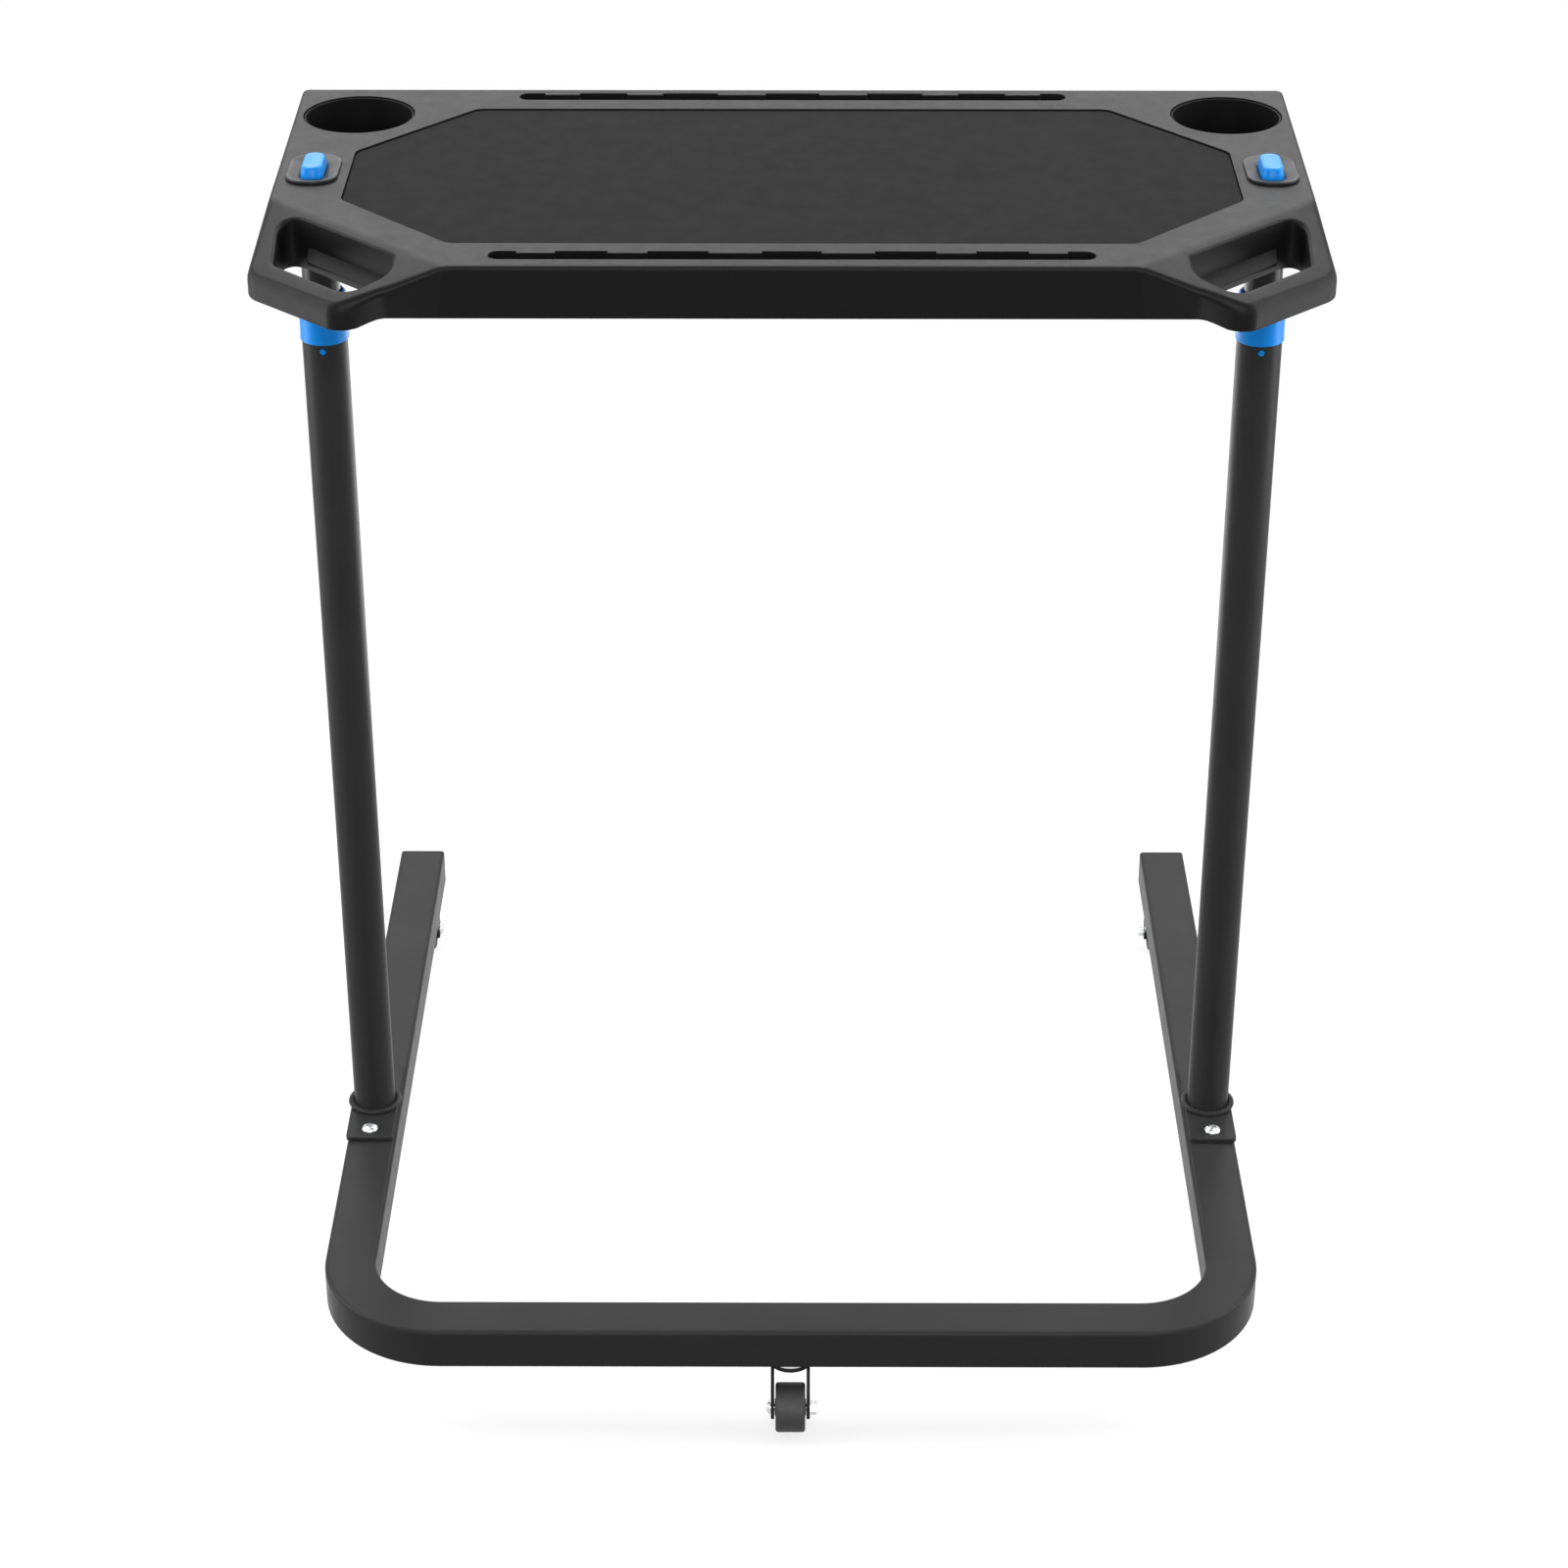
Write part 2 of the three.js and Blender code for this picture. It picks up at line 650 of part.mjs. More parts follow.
function trayShell() {
  const whole = prism(trayOutline(), traySkirtBottom - trayEdgeRadius, trayTop, trayEdgeRadius);
  const far = trayHalfBack + overrun;
  const skirtCut = block(-far, far, -noseFront - overrun, trayBack + overrun,
    traySkirtBottom - 2 * overrun, traySkirtBottom);
  let body = whole.subtract(skirtCut).subtract(trayCavity());
  for (const [, side] of sides) {
    body = cutBy(body, [handleFallCut(side), handleHole(side)]);
    for (const [x, y] of bracketScrewPlaces(side)) {
      body = body.add(rod(bossRadius, bracketTop + gap, trayTop - trayTopThickness / 2, x, y, 20));
    }
  }
  for (const place of [backSlotPlace, -frontSlotPlace]) {
    body = body.add(slotBlock(place)).subtract(slotCut(place));
    body = joined([body, ...slotTeeth(place)]);
  }
  body = body.subtract(prism(matOutline(matMargin), matBottom - gap, trayTop + overrun));
  for (const [, side] of sides) {
    const sleeve = boxOutline(
      bezelSleeveWidth + 2 * gap, bezelSleeveDepth + 2 * gap, buttonCorner, side * postX);
    body = cutBy(body, [
      rod(cupRadius, trayUnderside - overrun, trayTop + overrun, side * cupHalfSpacing, cupBack, 48),
      prism(sleeve, trayUnderside - overrun, trayTop + overrun),
    ]);
    for (const [x, y] of bracketScrewPlaces(side)) {
      const screwEnd = bracketTop + screwLength;
      body = body.subtract(rod(screwRadius + gap, bracketTop - overrun, screwEnd, x, y, 12));
    }
  }
  return body;
}

const mat = () => prism(matOutline(0), matBottom, matBottom + matThickness);

function cupLiner() {
  const outer = cupRadius - gap;
  const bottom = trayTop - cupDepth;
  const flangeTop = trayUnderside - gap;
  const flangeOuter = cupRadius + cupFlangeWidth;
  return turned([
    [0, bottom - cupWall], [cupBottomRadius + cupWall, bottom - cupWall],
    [outer - cupWall / 2, flangeTop - cupFlangeThickness], [flangeOuter, flangeTop - cupFlangeThickness],
    [flangeOuter, flangeTop], [outer, flangeTop], [outer, trayTop - cupWall / 2],
    [outer - cupWall, trayTop - cupWall / 2], [cupBottomRadius, bottom], [0, bottom],
  ], 36);
}

// Button, bezel and return spring
function tapered(body, z0, z1, topShare) {
  return body.warp((vertex) => {
    const share = 1 + (topShare - 1) * THREE.MathUtils.clamp((vertex[2] - z0) / (z1 - z0), 0, 1);
    vertex[0] *= share;
    vertex[1] *= share;
  });
}

function buttonCap() {
  const foot = trayTop - buttonBelow - gap;
  const crown = trayTop + buttonRise;
  const outline = (margin) => boxOutline(buttonWidth + 2 * margin, buttonDepth + 2 * margin, buttonCorner);
  const cap = prism(outline(0), foot - buttonEdge, crown, buttonEdge, 6);
  const sloped = tapered(cap, trayTop, crown, buttonTopShare);
  const flange = prism(outline(buttonFlange), buttonBottom, foot);
  const socket = rod(rodRadius + gap, buttonBottom - overrun, buttonBottom + rodSocketDepth, 0, 0, 16);
  return sloped.add(flange).subtract(socket);
}

function bezel() {
  const seat = trayTop + gap;
  const high = trayTop + bezelFrontHeight;
  const outline = boxOutline(bezelWidth, bezelDepth, bezelCorner);
  const plate = prism(outline, seat - buttonEdge, high + buttonEdge, buttonEdge, 6);
  const lid = new THREE.BoxGeometry(2 * bezelWidth, 2 * bezelDepth, bezelWidth);
  moved(lid, 0, 0, bezelWidth / 2);
  lid.rotateX(Math.atan2(bezelBackHeight - bezelFrontHeight, bezelDepth));
  const lidCut = solid(moved(lid, 0, 0, trayTop + (bezelFrontHeight + bezelBackHeight) / 2));
  const under = block(-bezelWidth, bezelWidth, -bezelDepth, bezelDepth, seat - 2 * overrun, seat);
  const top = cutBy(plate, [lidCut, under]);
  const foot = trayTop - buttonBelow;
  const sleeve = prism(boxOutline(bezelSleeveWidth, bezelSleeveDepth, buttonCorner), foot, seat + gap);
  const opening = (margin, from) => (
    prism(boxOutline(buttonWidth + margin, buttonDepth + margin, buttonCorner), from, high + overrun));
  const bore = opening(2 * runningGap, foot - overrun);
  const funnel = opening(bezelFunnel, trayTop + bezelBackHeight / 2);
  return cutBy(top.add(sleeve), [bore, funnel]);
}

class Helix extends THREE.Curve {
  constructor(radius, height, turns) {
    super();
    Object.assign(this, { radius, height, turns });
  }

  getPoint(t, target = new THREE.Vector3()) {
    const angle = t * this.turns * 2 * Math.PI;
    return target.set(this.radius * Math.cos(angle), this.radius * Math.sin(angle), t * this.height);
  }
}

function coilSpring(radius, wire, z0, z1, turns) {
  const section = new THREE.Shape();
  section.absarc(0, 0, wire / 2, 0, 2 * Math.PI, false);
  const height = z1 - z0 - wire;
  const geometry = new THREE.ExtrudeGeometry(section, {
    steps: turns * 10,
    extrudePath: new Helix(radius, height, turns),
    curveSegments: 3,
    bevelEnabled: false,
  });
  return solid(moved(geometry, 0, 0, z0 + wire / 2));
}

const buttonSpring = () => (
  coilSpring(buttonSpringRadius, springWire, bracketTop + gap, buttonBottom - gap, springTurns));

// Tray brackets and their screws
function bracket(side) {
  const [x0, x1] = side > 0 ? [-bracketInner, bracketOuter] : [-bracketOuter, bracketInner];
  const plate = block(x0, x1, -bracketHalfDepth, bracketHalfDepth, bracketBottom, bracketTop);
  const socketInner = innerTubeRadius + gap;
  const socket = tube(socketInner + bracketSocketWall, socketInner,
    bracketBottom - bracketSocketHeight, bracketBottom + bracketThickness / 2);
  const hole = (radius, x, y) => rod(radius + gap, bracketBottom - overrun, bracketTop + overrun, x, y, 16);
  const screwHoles = bracketScrewPlaces(side).map(([x, y]) => hole(screwRadius, x - side * postX, y));
  return cutBy(plate.add(socket), [hole(rodRadius, 0, 0), ...screwHoles]);
}

const bracketScrew = () => buttonHeadScrew(screwRadius, screwLength, screwHeadRadius, screwHeadHeight,
  screwRadius / 2, screwHeadHeight / 2, 12);

// Casters, with the swivel axis at the origin and the wheel trailing along +Y
const kingpinBottom = casterHeight - racewayThickness - forkTopThickness - 4 * gap - kingpinHeadHeight;

function casterHead() {
  const top = casterHeight - gap;
  const ringBottom = top - racewayThickness;
  const headTop = kingpinBottom + kingpinHeadHeight;
  return turned([
    [0, kingpinBottom], [kingpinHeadRadius, kingpinBottom], [kingpinHeadRadius, headTop],
    [kingpinRadius, headTop], [kingpinRadius, ringBottom], [racewayRadius, ringBottom],
    [racewayRadius, top - racewayEdge], [racewayRadius - racewayEdge, top], [stemRadius, top],
    [stemRadius, top + stemLength], [0, top + stemLength],
  ], 20);
}

function casterFork() {
  const top = casterHeight - gap - racewayThickness - gap;
  const underTop = top - forkTopThickness;
  const pinHole = rod(kingpinRadius + gap, underTop - overrun, top + overrun, 0, 0, 20);
  const disc = rod(forkTopRadius, underTop, top, 0, 0, 28).subtract(pinHole);
  const cheek = (side) => {
    const shape = new THREE.Shape();
    shape.moveTo(-forkBackShare * forkTopRadius, underTop + forkTopThickness / 2);
    shape.lineTo(casterTrail - forkEye, wheelRadius);
    shape.absarc(casterTrail, wheelRadius, forkEye, Math.PI, 2 * Math.PI, false);
    shape.lineTo(forkFrontShare * forkTopRadius, underTop + forkTopThickness / 2);
    shape.closePath();
    const geometry = new THREE.ExtrudeGeometry(shape, {
      depth: forkCheek, bevelEnabled: false, curveSegments: 8,
    });
    geometry.applyMatrix4(new THREE.Matrix4().makeBasis(
      new THREE.Vector3(0, 1, 0), new THREE.Vector3(0, 0, 1), new THREE.Vector3(1, 0, 0)));
    return solid(moved(geometry, side > 0 ? forkInnerHalf : -forkInnerHalf - forkCheek, 0, 0));
  };
  const reach = forkInnerHalf + forkCheek + overrun;
  const eye = crossRod(axleRadius + gap, -reach, reach, "x", wheelRadius, 16)
    .translate([0, casterTrail, 0]);
  return joined([disc, cheek(-1), cheek(1)]).subtract(eye);
}

function onAxle(body) {
  return body.rotate([0, -90, 0]).translate([0, casterTrail, wheelRadius]);
}

function casterTyre() {
  const half = wheelWidth / 2;
  const inner = wheelRadius - tyreThickness;
  return onAxle(turned([
    [inner, -half], [wheelRadius - tyreShoulder, -half], [wheelRadius, tyreShoulder - half],
    [wheelRadius, half - tyreShoulder], [wheelRadius - tyreShoulder, half], [inner, half],
  ], 28));
}

function casterHub() {
  const half = wheelWidth / 2;
  const outer = wheelRadius - tyreThickness - gap;
  const rim = outer - tyreShoulder;
  const bore = axleRadius + runningGap;
  const bossEnd = forkInnerHalf - runningGap;
  const web = half / 2;
  return onAxle(turned([
    [bore, -bossEnd], [hubBossRadius, -bossEnd], [hubBossRadius, -web],
    [rim, -web], [rim, -half], [outer, -half],
    [outer, half], [rim, half], [rim, web], [hubBossRadius, web], [hubBossRadius, bossEnd], [bore, bossEnd],
  ], 20));
}

const axleSeat = forkInnerHalf + forkCheek + gap;

function casterBolt() {
  const shaftEnd = axleSeat + axleNutHeight;
  return onAxle(turned([
    [0, -axleSeat - axleHeadHeight], [axleHeadRadius - axleHeadHeight / 2, -axleSeat - axleHeadHeight],
    [axleHeadRadius, -axleSeat - axleHeadHeight / 2],
    [axleHeadRadius, -axleSeat], [axleRadius, -axleSeat], [axleRadius, shaftEnd], [0, shaftEnd],
  ], 20));
}

function casterNut() {
  const nut = hexRod(axleNutRadius, axleSeat, axleSeat + axleNutHeight);
  const bore = rod(axleRadius + gap, axleSeat - overrun, axleSeat + axleNutHeight + overrun, 0, 0, 16);
  return onAxle(nut.subtract(bore));
}

// Assembly
function group(x, y, turn, meshes) {
  const assembly = new THREE.Group();
  assembly.position.set(x, y, 0);
  assembly.rotation.z = turn;
  assembly.add(...meshes);
  return assembly;
}

function footBolts(name, x) {
  return [["front", -1], ["rear", 1]].map(([end, sign]) => {
    const bolt = meshOf(`foot_bolt_${name}_${end}`, footBolt(), finishes.zinc());
    bolt.position.set(x, (sign * footBoltSpacing) / 2, footPlateTop + gap);
    return bolt;
  });
}

function post(name, side) {
  return group(side * postX, 0, 0, [
    meshOf(`foot_plate_${name}`, footPlate(), finishes.blackSteel()),
    meshOf(`outer_tube_${name}`, outerTube(), finishes.blackSteel()),
    meshOf(`collar_${name}`, collar(), finishes.blue()),
    meshOf(`inner_tube_${name}`, innerTube(), finishes.innerSteel()),
    meshOf(`glide_${name}`, glide(), finishes.blackPlastic()),
    meshOf(`lock_pin_${name}`, lockPin(), finishes.zinc()),
    meshOf(`push_rod_${name}`, pushRod(), finishes.zinc()),
    meshOf(`button_spring_${name}`, buttonSpring(), finishes.zinc()),
    meshOf(`button_${name}`, buttonCap(), finishes.blue()),
    meshOf(`button_bezel_${name}`, bezel(), finishes.blackPlastic()),
    meshOf(`tray_bracket_${name}`, bracket(side), finishes.blackSteel()),
  ]);
}

function bracketScrews(name, side) {
  return bracketScrewPlaces(side).map(([x, y], i) => {
    const place = `${name}_${i === 0 ? "front" : "rear"}`;
    const screw = meshOf(`bracket_screw_${place}`, bracketScrew(), finishes.zinc());
    screw.rotation.x = Math.PI;
    screw.position.set(x, y, bracketBottom - gap);
    return screw;
  });
}

function liner(name, side) {
  const mesh = meshOf(`cup_liner_${name}`, cupLiner(), finishes.blackPlastic());
  mesh.position.set(side * cupHalfSpacing, cupBack, 0);
  return mesh;
}

function caster(name, x, y, facing) {
  return group(x, y, facing > 0 ? 0 : Math.PI, [
    meshOf(`caster_head_${name}`, casterHead(), finishes.zinc()),
    meshOf(`caster_fork_${name}`, casterFork(), finishes.blackSteel()),
    meshOf(`caster_tyre_${name}`, casterTyre(), finishes.rubber()),
    meshOf(`caster_hub_${name}`, casterHub(), finishes.blackPlastic()),
    meshOf(`caster_bolt_${name}`, casterBolt(), finishes.zinc()),
    meshOf(`caster_nut_${name}`, casterNut(), finishes.zinc()),
  ]);
}

const desk = new THREE.Group();
desk.name = "bike_trainer_desk";
desk.add(meshOf("base_frame", baseFrame(), finishes.blackSteel()));
desk.add(meshOf("tray_shell", trayShell(), finishes.tray()));
desk.add(meshOf("mat", mat(), finishes.mat()));
for (const [name, side] of sides) {
  desk.add(meshOf(`end_cap_${name}`, endCap(side), finishes.blackPlastic()));
  desk.add(post(name, side), liner(name, side));
  desk.add(...footBolts(name, side * postX), ...bracketScrews(name, side));
}
for (const [name, x, y, facing] of casterPlaces) desk.add(caster(name, x, y, facing));

// The origin sits on the floor under the middle of the desk's outer box
const bounds = new THREE.Box3().setFromObject(desk);
desk.position.y = -(bounds.min.y + bounds.max.y) / 2;
desk.updateMatrixWorld(true);

export default desk;
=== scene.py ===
"""A rolling desk for a bicycle trainer, dressed for rendering: tray, telescopic posts, base and casters."""

import json
import logging
import math
from collections.abc import Iterable, Sequence
from dataclasses import dataclass, field, replace
from enum import Enum
from functools import cache

import bmesh
import bpy
from bmesh.types import BMEdge, BMFace, BMVert
from mathutils import Matrix, Vector

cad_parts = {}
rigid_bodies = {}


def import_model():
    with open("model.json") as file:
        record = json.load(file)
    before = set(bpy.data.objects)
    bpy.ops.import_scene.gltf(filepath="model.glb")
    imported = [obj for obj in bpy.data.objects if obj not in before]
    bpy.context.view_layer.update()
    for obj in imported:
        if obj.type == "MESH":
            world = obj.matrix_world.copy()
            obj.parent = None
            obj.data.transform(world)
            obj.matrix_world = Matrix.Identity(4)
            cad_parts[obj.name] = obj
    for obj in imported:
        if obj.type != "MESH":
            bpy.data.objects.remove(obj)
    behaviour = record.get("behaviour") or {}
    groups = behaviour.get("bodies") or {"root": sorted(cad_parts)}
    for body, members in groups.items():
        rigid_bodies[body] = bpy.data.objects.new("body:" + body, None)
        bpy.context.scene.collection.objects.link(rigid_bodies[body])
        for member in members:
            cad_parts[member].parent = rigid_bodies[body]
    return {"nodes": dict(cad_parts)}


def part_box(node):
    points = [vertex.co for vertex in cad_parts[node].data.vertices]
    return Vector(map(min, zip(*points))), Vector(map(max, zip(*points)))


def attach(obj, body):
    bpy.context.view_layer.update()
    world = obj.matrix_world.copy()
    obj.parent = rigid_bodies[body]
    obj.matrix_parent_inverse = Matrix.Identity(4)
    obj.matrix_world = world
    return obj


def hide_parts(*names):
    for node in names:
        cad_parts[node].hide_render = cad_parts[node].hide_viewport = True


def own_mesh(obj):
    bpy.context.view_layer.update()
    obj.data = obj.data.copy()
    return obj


for leftover in list(bpy.data.objects):
    bpy.data.objects.remove(leftover)
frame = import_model()

log = logging.getLogger("desk")

Pair = tuple[float, float]
Triple = tuple[float, float, float]
Socket = bpy.types.NodeSocket

MM = 0.001
POST_LINE = -49 * MM

# Sizes that several pieces share, in millimetres, and the play between neighbours
TRAY_TOP = 950
POST_HALF = 363
CUP_HALF = 342
CUP_BACK = 128
GAP = 0.3


class Labelled(Enum):
    """A choice whose name is spelt in lower case in the names of nodes and pieces."""

    def __str__(self) -> str:
        """The name in lower case."""
        return self.name.lower()


class Side(Labelled):
    """The two sides of the desk, as a person in front of it sees them."""

    LEFT = -1
    RIGHT = 1

    def outline(self, points: Sequence[Triple]) -> list[Triple]:
        """An outline on this side, counterclockwise, from one drawn clockwise on the right."""
        placed = [(self.value * x, y, radius) for x, y, radius in points]
        return placed if self is Side.LEFT else placed[::-1]


class Station(Labelled):
    """Where a caster stands: its swivel axis in millimetres and which way its wheel trails."""

    FRONT = (0, -299, -1)
    REAR_LEFT = (-361, 392, 1)
    REAR_RIGHT = (361, 392, 1)


# Finishes
class Nodes:
    """A node tree, with short calls that add and join its nodes."""

    def __init__(self, tree: bpy.types.NodeTree) -> None:
        """Starts with this tree, whose nodes are taken out."""
        self.tree = tree
        tree.nodes.clear()

    def join(self, node: bpy.types.Node, *sources: Socket, **inputs: object) -> bpy.types.Node:
        """Gives a node's inputs what they get.

        Args:
            node: The node.
            sources: Sockets that are joined to its inputs, in their order.
            inputs: Values or sockets for its inputs, by name with _ for a space.

        Returns:
            The node.
        """
        for key, value in (*enumerate(sources), *inputs.items()):
            socket = node.inputs[key if isinstance(key, int) else key.replace("_", " ")]
            if isinstance(value, Socket):
                self.tree.links.new(value, socket)
            else:
                socket.default_value = value
        return node

    def add(self, kind: str, *sources: Socket, **inputs: object) -> bpy.types.Node:
        """Adds a node of a kind and joins it as join does."""
        return self.join(self.tree.nodes.new(f"ShaderNode{kind}"), *sources, **inputs)

    def blend(self, share: Socket, first: Triple, second: Triple) -> Socket:
        """A colour between two.

        Args:
            share: How much of the second colour shows.
            first: The colour at 0.
            second: The colour at 1.

        Returns:
            The colour socket.
        """
        node = self.add("Mix")
        node.data_type = "RGBA"
        # The sockets of a mix share their names, so the colours go by number
        share_input, first_input, second_input, colour_output = 0, 6, 7, 2
        self.tree.links.new(share, node.inputs[share_input])
        node.inputs[first_input].default_value = (*first, 1.0)
        node.inputs[second_input].default_value = (*second, 1.0)
        return node.outputs[colour_output]


class FinishNodes(Nodes):
    """The node tree of a material with a principled shader."""

    def __init__(self, name: str) -> None:
        """Starts the material.

        Args:
            name: The material's name.
        """
        self.material = bpy.data.materials.new(name)
        self.material.use_nodes = True
        super().__init__(self.material.node_tree)
        self.shader = self.add("BsdfPrincipled")
        self.output = self.add("OutputMaterial", Surface=self.shader.outputs["BSDF"])
        self.place = self.add("TexCoord").outputs["Object"]

    def noise(self, scale: float, detail: float = 2.0, stretch: Triple | None = None,
              rough: float = 0.5) -> Socket:
        """Noise in the object's own coordinates.

        Args:
            scale: Features per metre.
            detail: How many finer layers it has.
            stretch: Scale along each axis, for a drawn grain.
            rough: How strong the finer layers are.

        Returns:
            The noise's grey socket.
        """
        where = self.place
        if stretch:
            where = self.add("Mapping", Vector=where, Scale=stretch).outputs["Vector"]
        return self.add("TexNoise", Vector=where, Scale=scale, Detail=detail, Roughness=rough).outputs["Fac"]

    def spread(self, source: Socket, low: float, high: float) -> Socket:
        """Spreads a noise, whose values lie mostly between 0.3 and 0.7, from a low value to a high one."""
        node = self.add("MapRange", Value=source, From_Min=0.3, From_Max=0.7, To_Min=low, To_Max=high)
        return node.outputs["Result"]

    def relief(self, *layers: tuple[Socket, float]) -> None:
        """Gives the surface its relief.

        Args:
            layers: Each layer's height socket and its height in millimetres.
        """
        below: dict[str, Socket] = {}
        for height, depth in layers:
            bump = self.add("Bump", Height=height, Distance=depth * MM, Strength=1.0, **below)
            below = {"Normal": bump.outputs["Normal"]}
        self.join(self.shader, **below)


@dataclass(frozen=True)
class Finish:
    """A surface's colour and gloss, with grain, cloudiness and wear at their real scale.

    Colours are linear, scales are features per metre and heights millimetres.
    """

    name: str
    slot: str
    colour: Triple
    roughness: float
    grain_scale: float
    grain_height: float
    cloud: float = 0.06
    cloud_scale: float = 14.0
    gloss_spread: float = 0.06
    metallic: float = 0.0
    specular: float = 0.5
    pebbled: bool = False
    stretch: Triple | None = None
    handling_times: float = 5
    fine_times: float = 2.7
    fine_share: float = 0.35

    def build(self) -> bpy.types.Material:
        """Makes the material.

        Returns:
            The material.
        """
        nodes = FinishNodes(self.name)
        dark, light = (tuple(min(part * share, 1.0) for part in self.colour)
                       for share in (1 - self.cloud, 1 + self.cloud))
        clouds = nodes.spread(nodes.noise(self.cloud_scale, 3.0), 0.0, 1.0)
        handling = nodes.noise(self.cloud_scale * self.handling_times, 4.0, rough=0.65)
        gloss = nodes.spread(handling, self.roughness - self.gloss_spread, self.roughness + self.gloss_spread)
        nodes.join(nodes.shader, Base_Color=nodes.blend(clouds, dark, light), Roughness=gloss,
                   Metallic=self.metallic, Specular_IOR_Level=self.specular)
        if self.pebbled:
            grain = nodes.add("TexVoronoi", Vector=nodes.place, Scale=self.grain_scale).outputs["Distance"]
        else:
            grain = nodes.noise(self.grain_scale, stretch=self.stretch)
        fine = nodes.noise(self.grain_scale * self.fine_times, 1.0)
        nodes.relief((fine, self.grain_height * self.fine_share), (grain, self.grain_height))
        return nodes.material


class Palette(Enum):
    """The finishes of the desk."""

    TRAY = Finish("tray_moulded_grain", "tray_plastic", (0.0042, 0.0042, 0.0043), 0.46, 1500, 0.03,
                  pebbled=True, cloud=0.03, gloss_spread=0.03, specular=0.1)
    MAT = Finish("mat_non_slip", "mat_rubber", (0.007, 0.007, 0.0072), 0.8, 900, 0.05, pebbled=True,
                 cloud=0.03, gloss_spread=0.03, specular=0.07)
    CUP_WELL = Finish("cup_well_plastic", "black_plastic", (0.003, 0.003, 0.0031), 0.6, 1400, 0.02,
                      specular=0.06)
    BLACK_PLASTIC = Finish("black_moulded_plastic", "black_plastic", (0.011, 0.011, 0.012), 0.42, 1400, 0.02,
                           specular=0.15)
    POWDER_COAT = Finish("black_powder_coat", "black_steel", (0.026, 0.026, 0.0265), 0.34, 620, 0.018,
                         gloss_spread=0.04, specular=0.045)
    INNER_STEEL = Finish("black_sliding_coat", "inner_steel", (0.01, 0.01, 0.011), 0.28, 300, 0.006,
                         stretch=(6.0, 6.0, 0.25), specular=0.15)
    BLUE = Finish("blue_moulded_plastic", "blue_plastic", (0.006, 0.2, 0.62), 0.33, 1600, 0.01,
                  gloss_spread=0.04, cloud=0.03, specular=0.12)
    ZINC = Finish("bright_zinc", "zinc", (0.62, 0.63, 0.64), 0.27, 900, 0.006, metallic=1.0, cloud=0.09,
                  cloud_scale=70.0)
    TYRE = Finish("tyre_rubber", "tyre_rubber", (0.016, 0.016, 0.016), 0.62, 1300, 0.03, cloud=0.15,
                  cloud_scale=60.0)

    @cache
    def material(self) -> bpy.types.Material:
        """The finish's material, built on its first use."""
        return self.value.build()

    def repaint(self, node: str) -> None:
        """Gives a node that keeps its shape this finish in place of its plain one.

        Args:
            node: The node's name.
        """
        mesh = frame["nodes"][node].data
        mesh.materials.clear()
        mesh.materials.append(self.material())


# Modelling
def at(x: float = 0, y: float = 0, z: float = 0) -> Matrix:
    """A place in millimetres from the floor under the middle of the posts' line."""
    return Matrix.Translation((x * MM, y * MM + POST_LINE, z * MM))


def lying(x: float, y: float, z: float, angle: float, axis: str) -> Matrix:
    """A turn of an angle about an axis, and then a move in millimetres."""
    return Matrix.Translation((x * MM, y * MM, z * MM)) @ Matrix.Rotation(angle, 4, axis)


def ease(share: float) -> float:
    """Keeps a share between 0 and 1 and softens its start and end."""
    share = min(max(share, 0), 1)
    return share * share * (3 - 2 * share)


def mirrored(points: Sequence[Triple], first: Side = Side.LEFT) -> list[Triple]:
    """A symmetric outline from the half on its first side, whose x is measured outwards."""
    way = first.value
    return [*((way * x, y, r) for x, y, r in points), *((-way * x, y, r) for x, y, r in reversed(points))]


def box_corners(width: float, depth: float, radius: float, x: float = 0, y: float = 0) -> list[Triple]:
    """The corners of a rounded box about a place."""
    w, d = width / 2, depth / 2
    return [(x - w, y - d, radius), (x + w, y - d, radius), (x + w, y + d, radius), (x - w, y + d, radius)]


def edge_steps(radius: float, segments: int = 4, way: int = 1) -> list[Pair]:
    """Steps of inset and rise that round a wall over into a flat, upwards or with -1 downwards."""
    angles = [math.pi / 2 * i / segments for i in range(segments + 1)]
    return [(radius * (math.cos(a) - math.cos(b)), way * radius * (math.sin(b) - math.sin(a)))
            for a, b in zip(angles, angles[1:])]


def lip_steps(radius: float, segments: int = 4) -> list[Pair]:
    """Steps of inset and rise that round a flat over into a hole's wall."""
    return [(rise, -inset) for inset, rise in edge_steps(radius, segments)]


def round_fall(width: float, fall: float, reach: float) -> float:
    """How far a rounded edge of a width and a whole fall has fallen at a reach in from the wall."""
    left = max(1 - reach / width, 0)
    return fall * (1 - math.sqrt(1 - left * left))


def show(name: str, data: bpy.types.ID) -> bpy.types.Object:
    """Puts an object with some data into the scene.

    Args:
        name: Its name.
        data: Its mesh, light or camera.

    Returns:
        The object.
    """
    made = bpy.data.objects.new(name, data)
    bpy.context.scene.collection.objects.link(made)
    return made


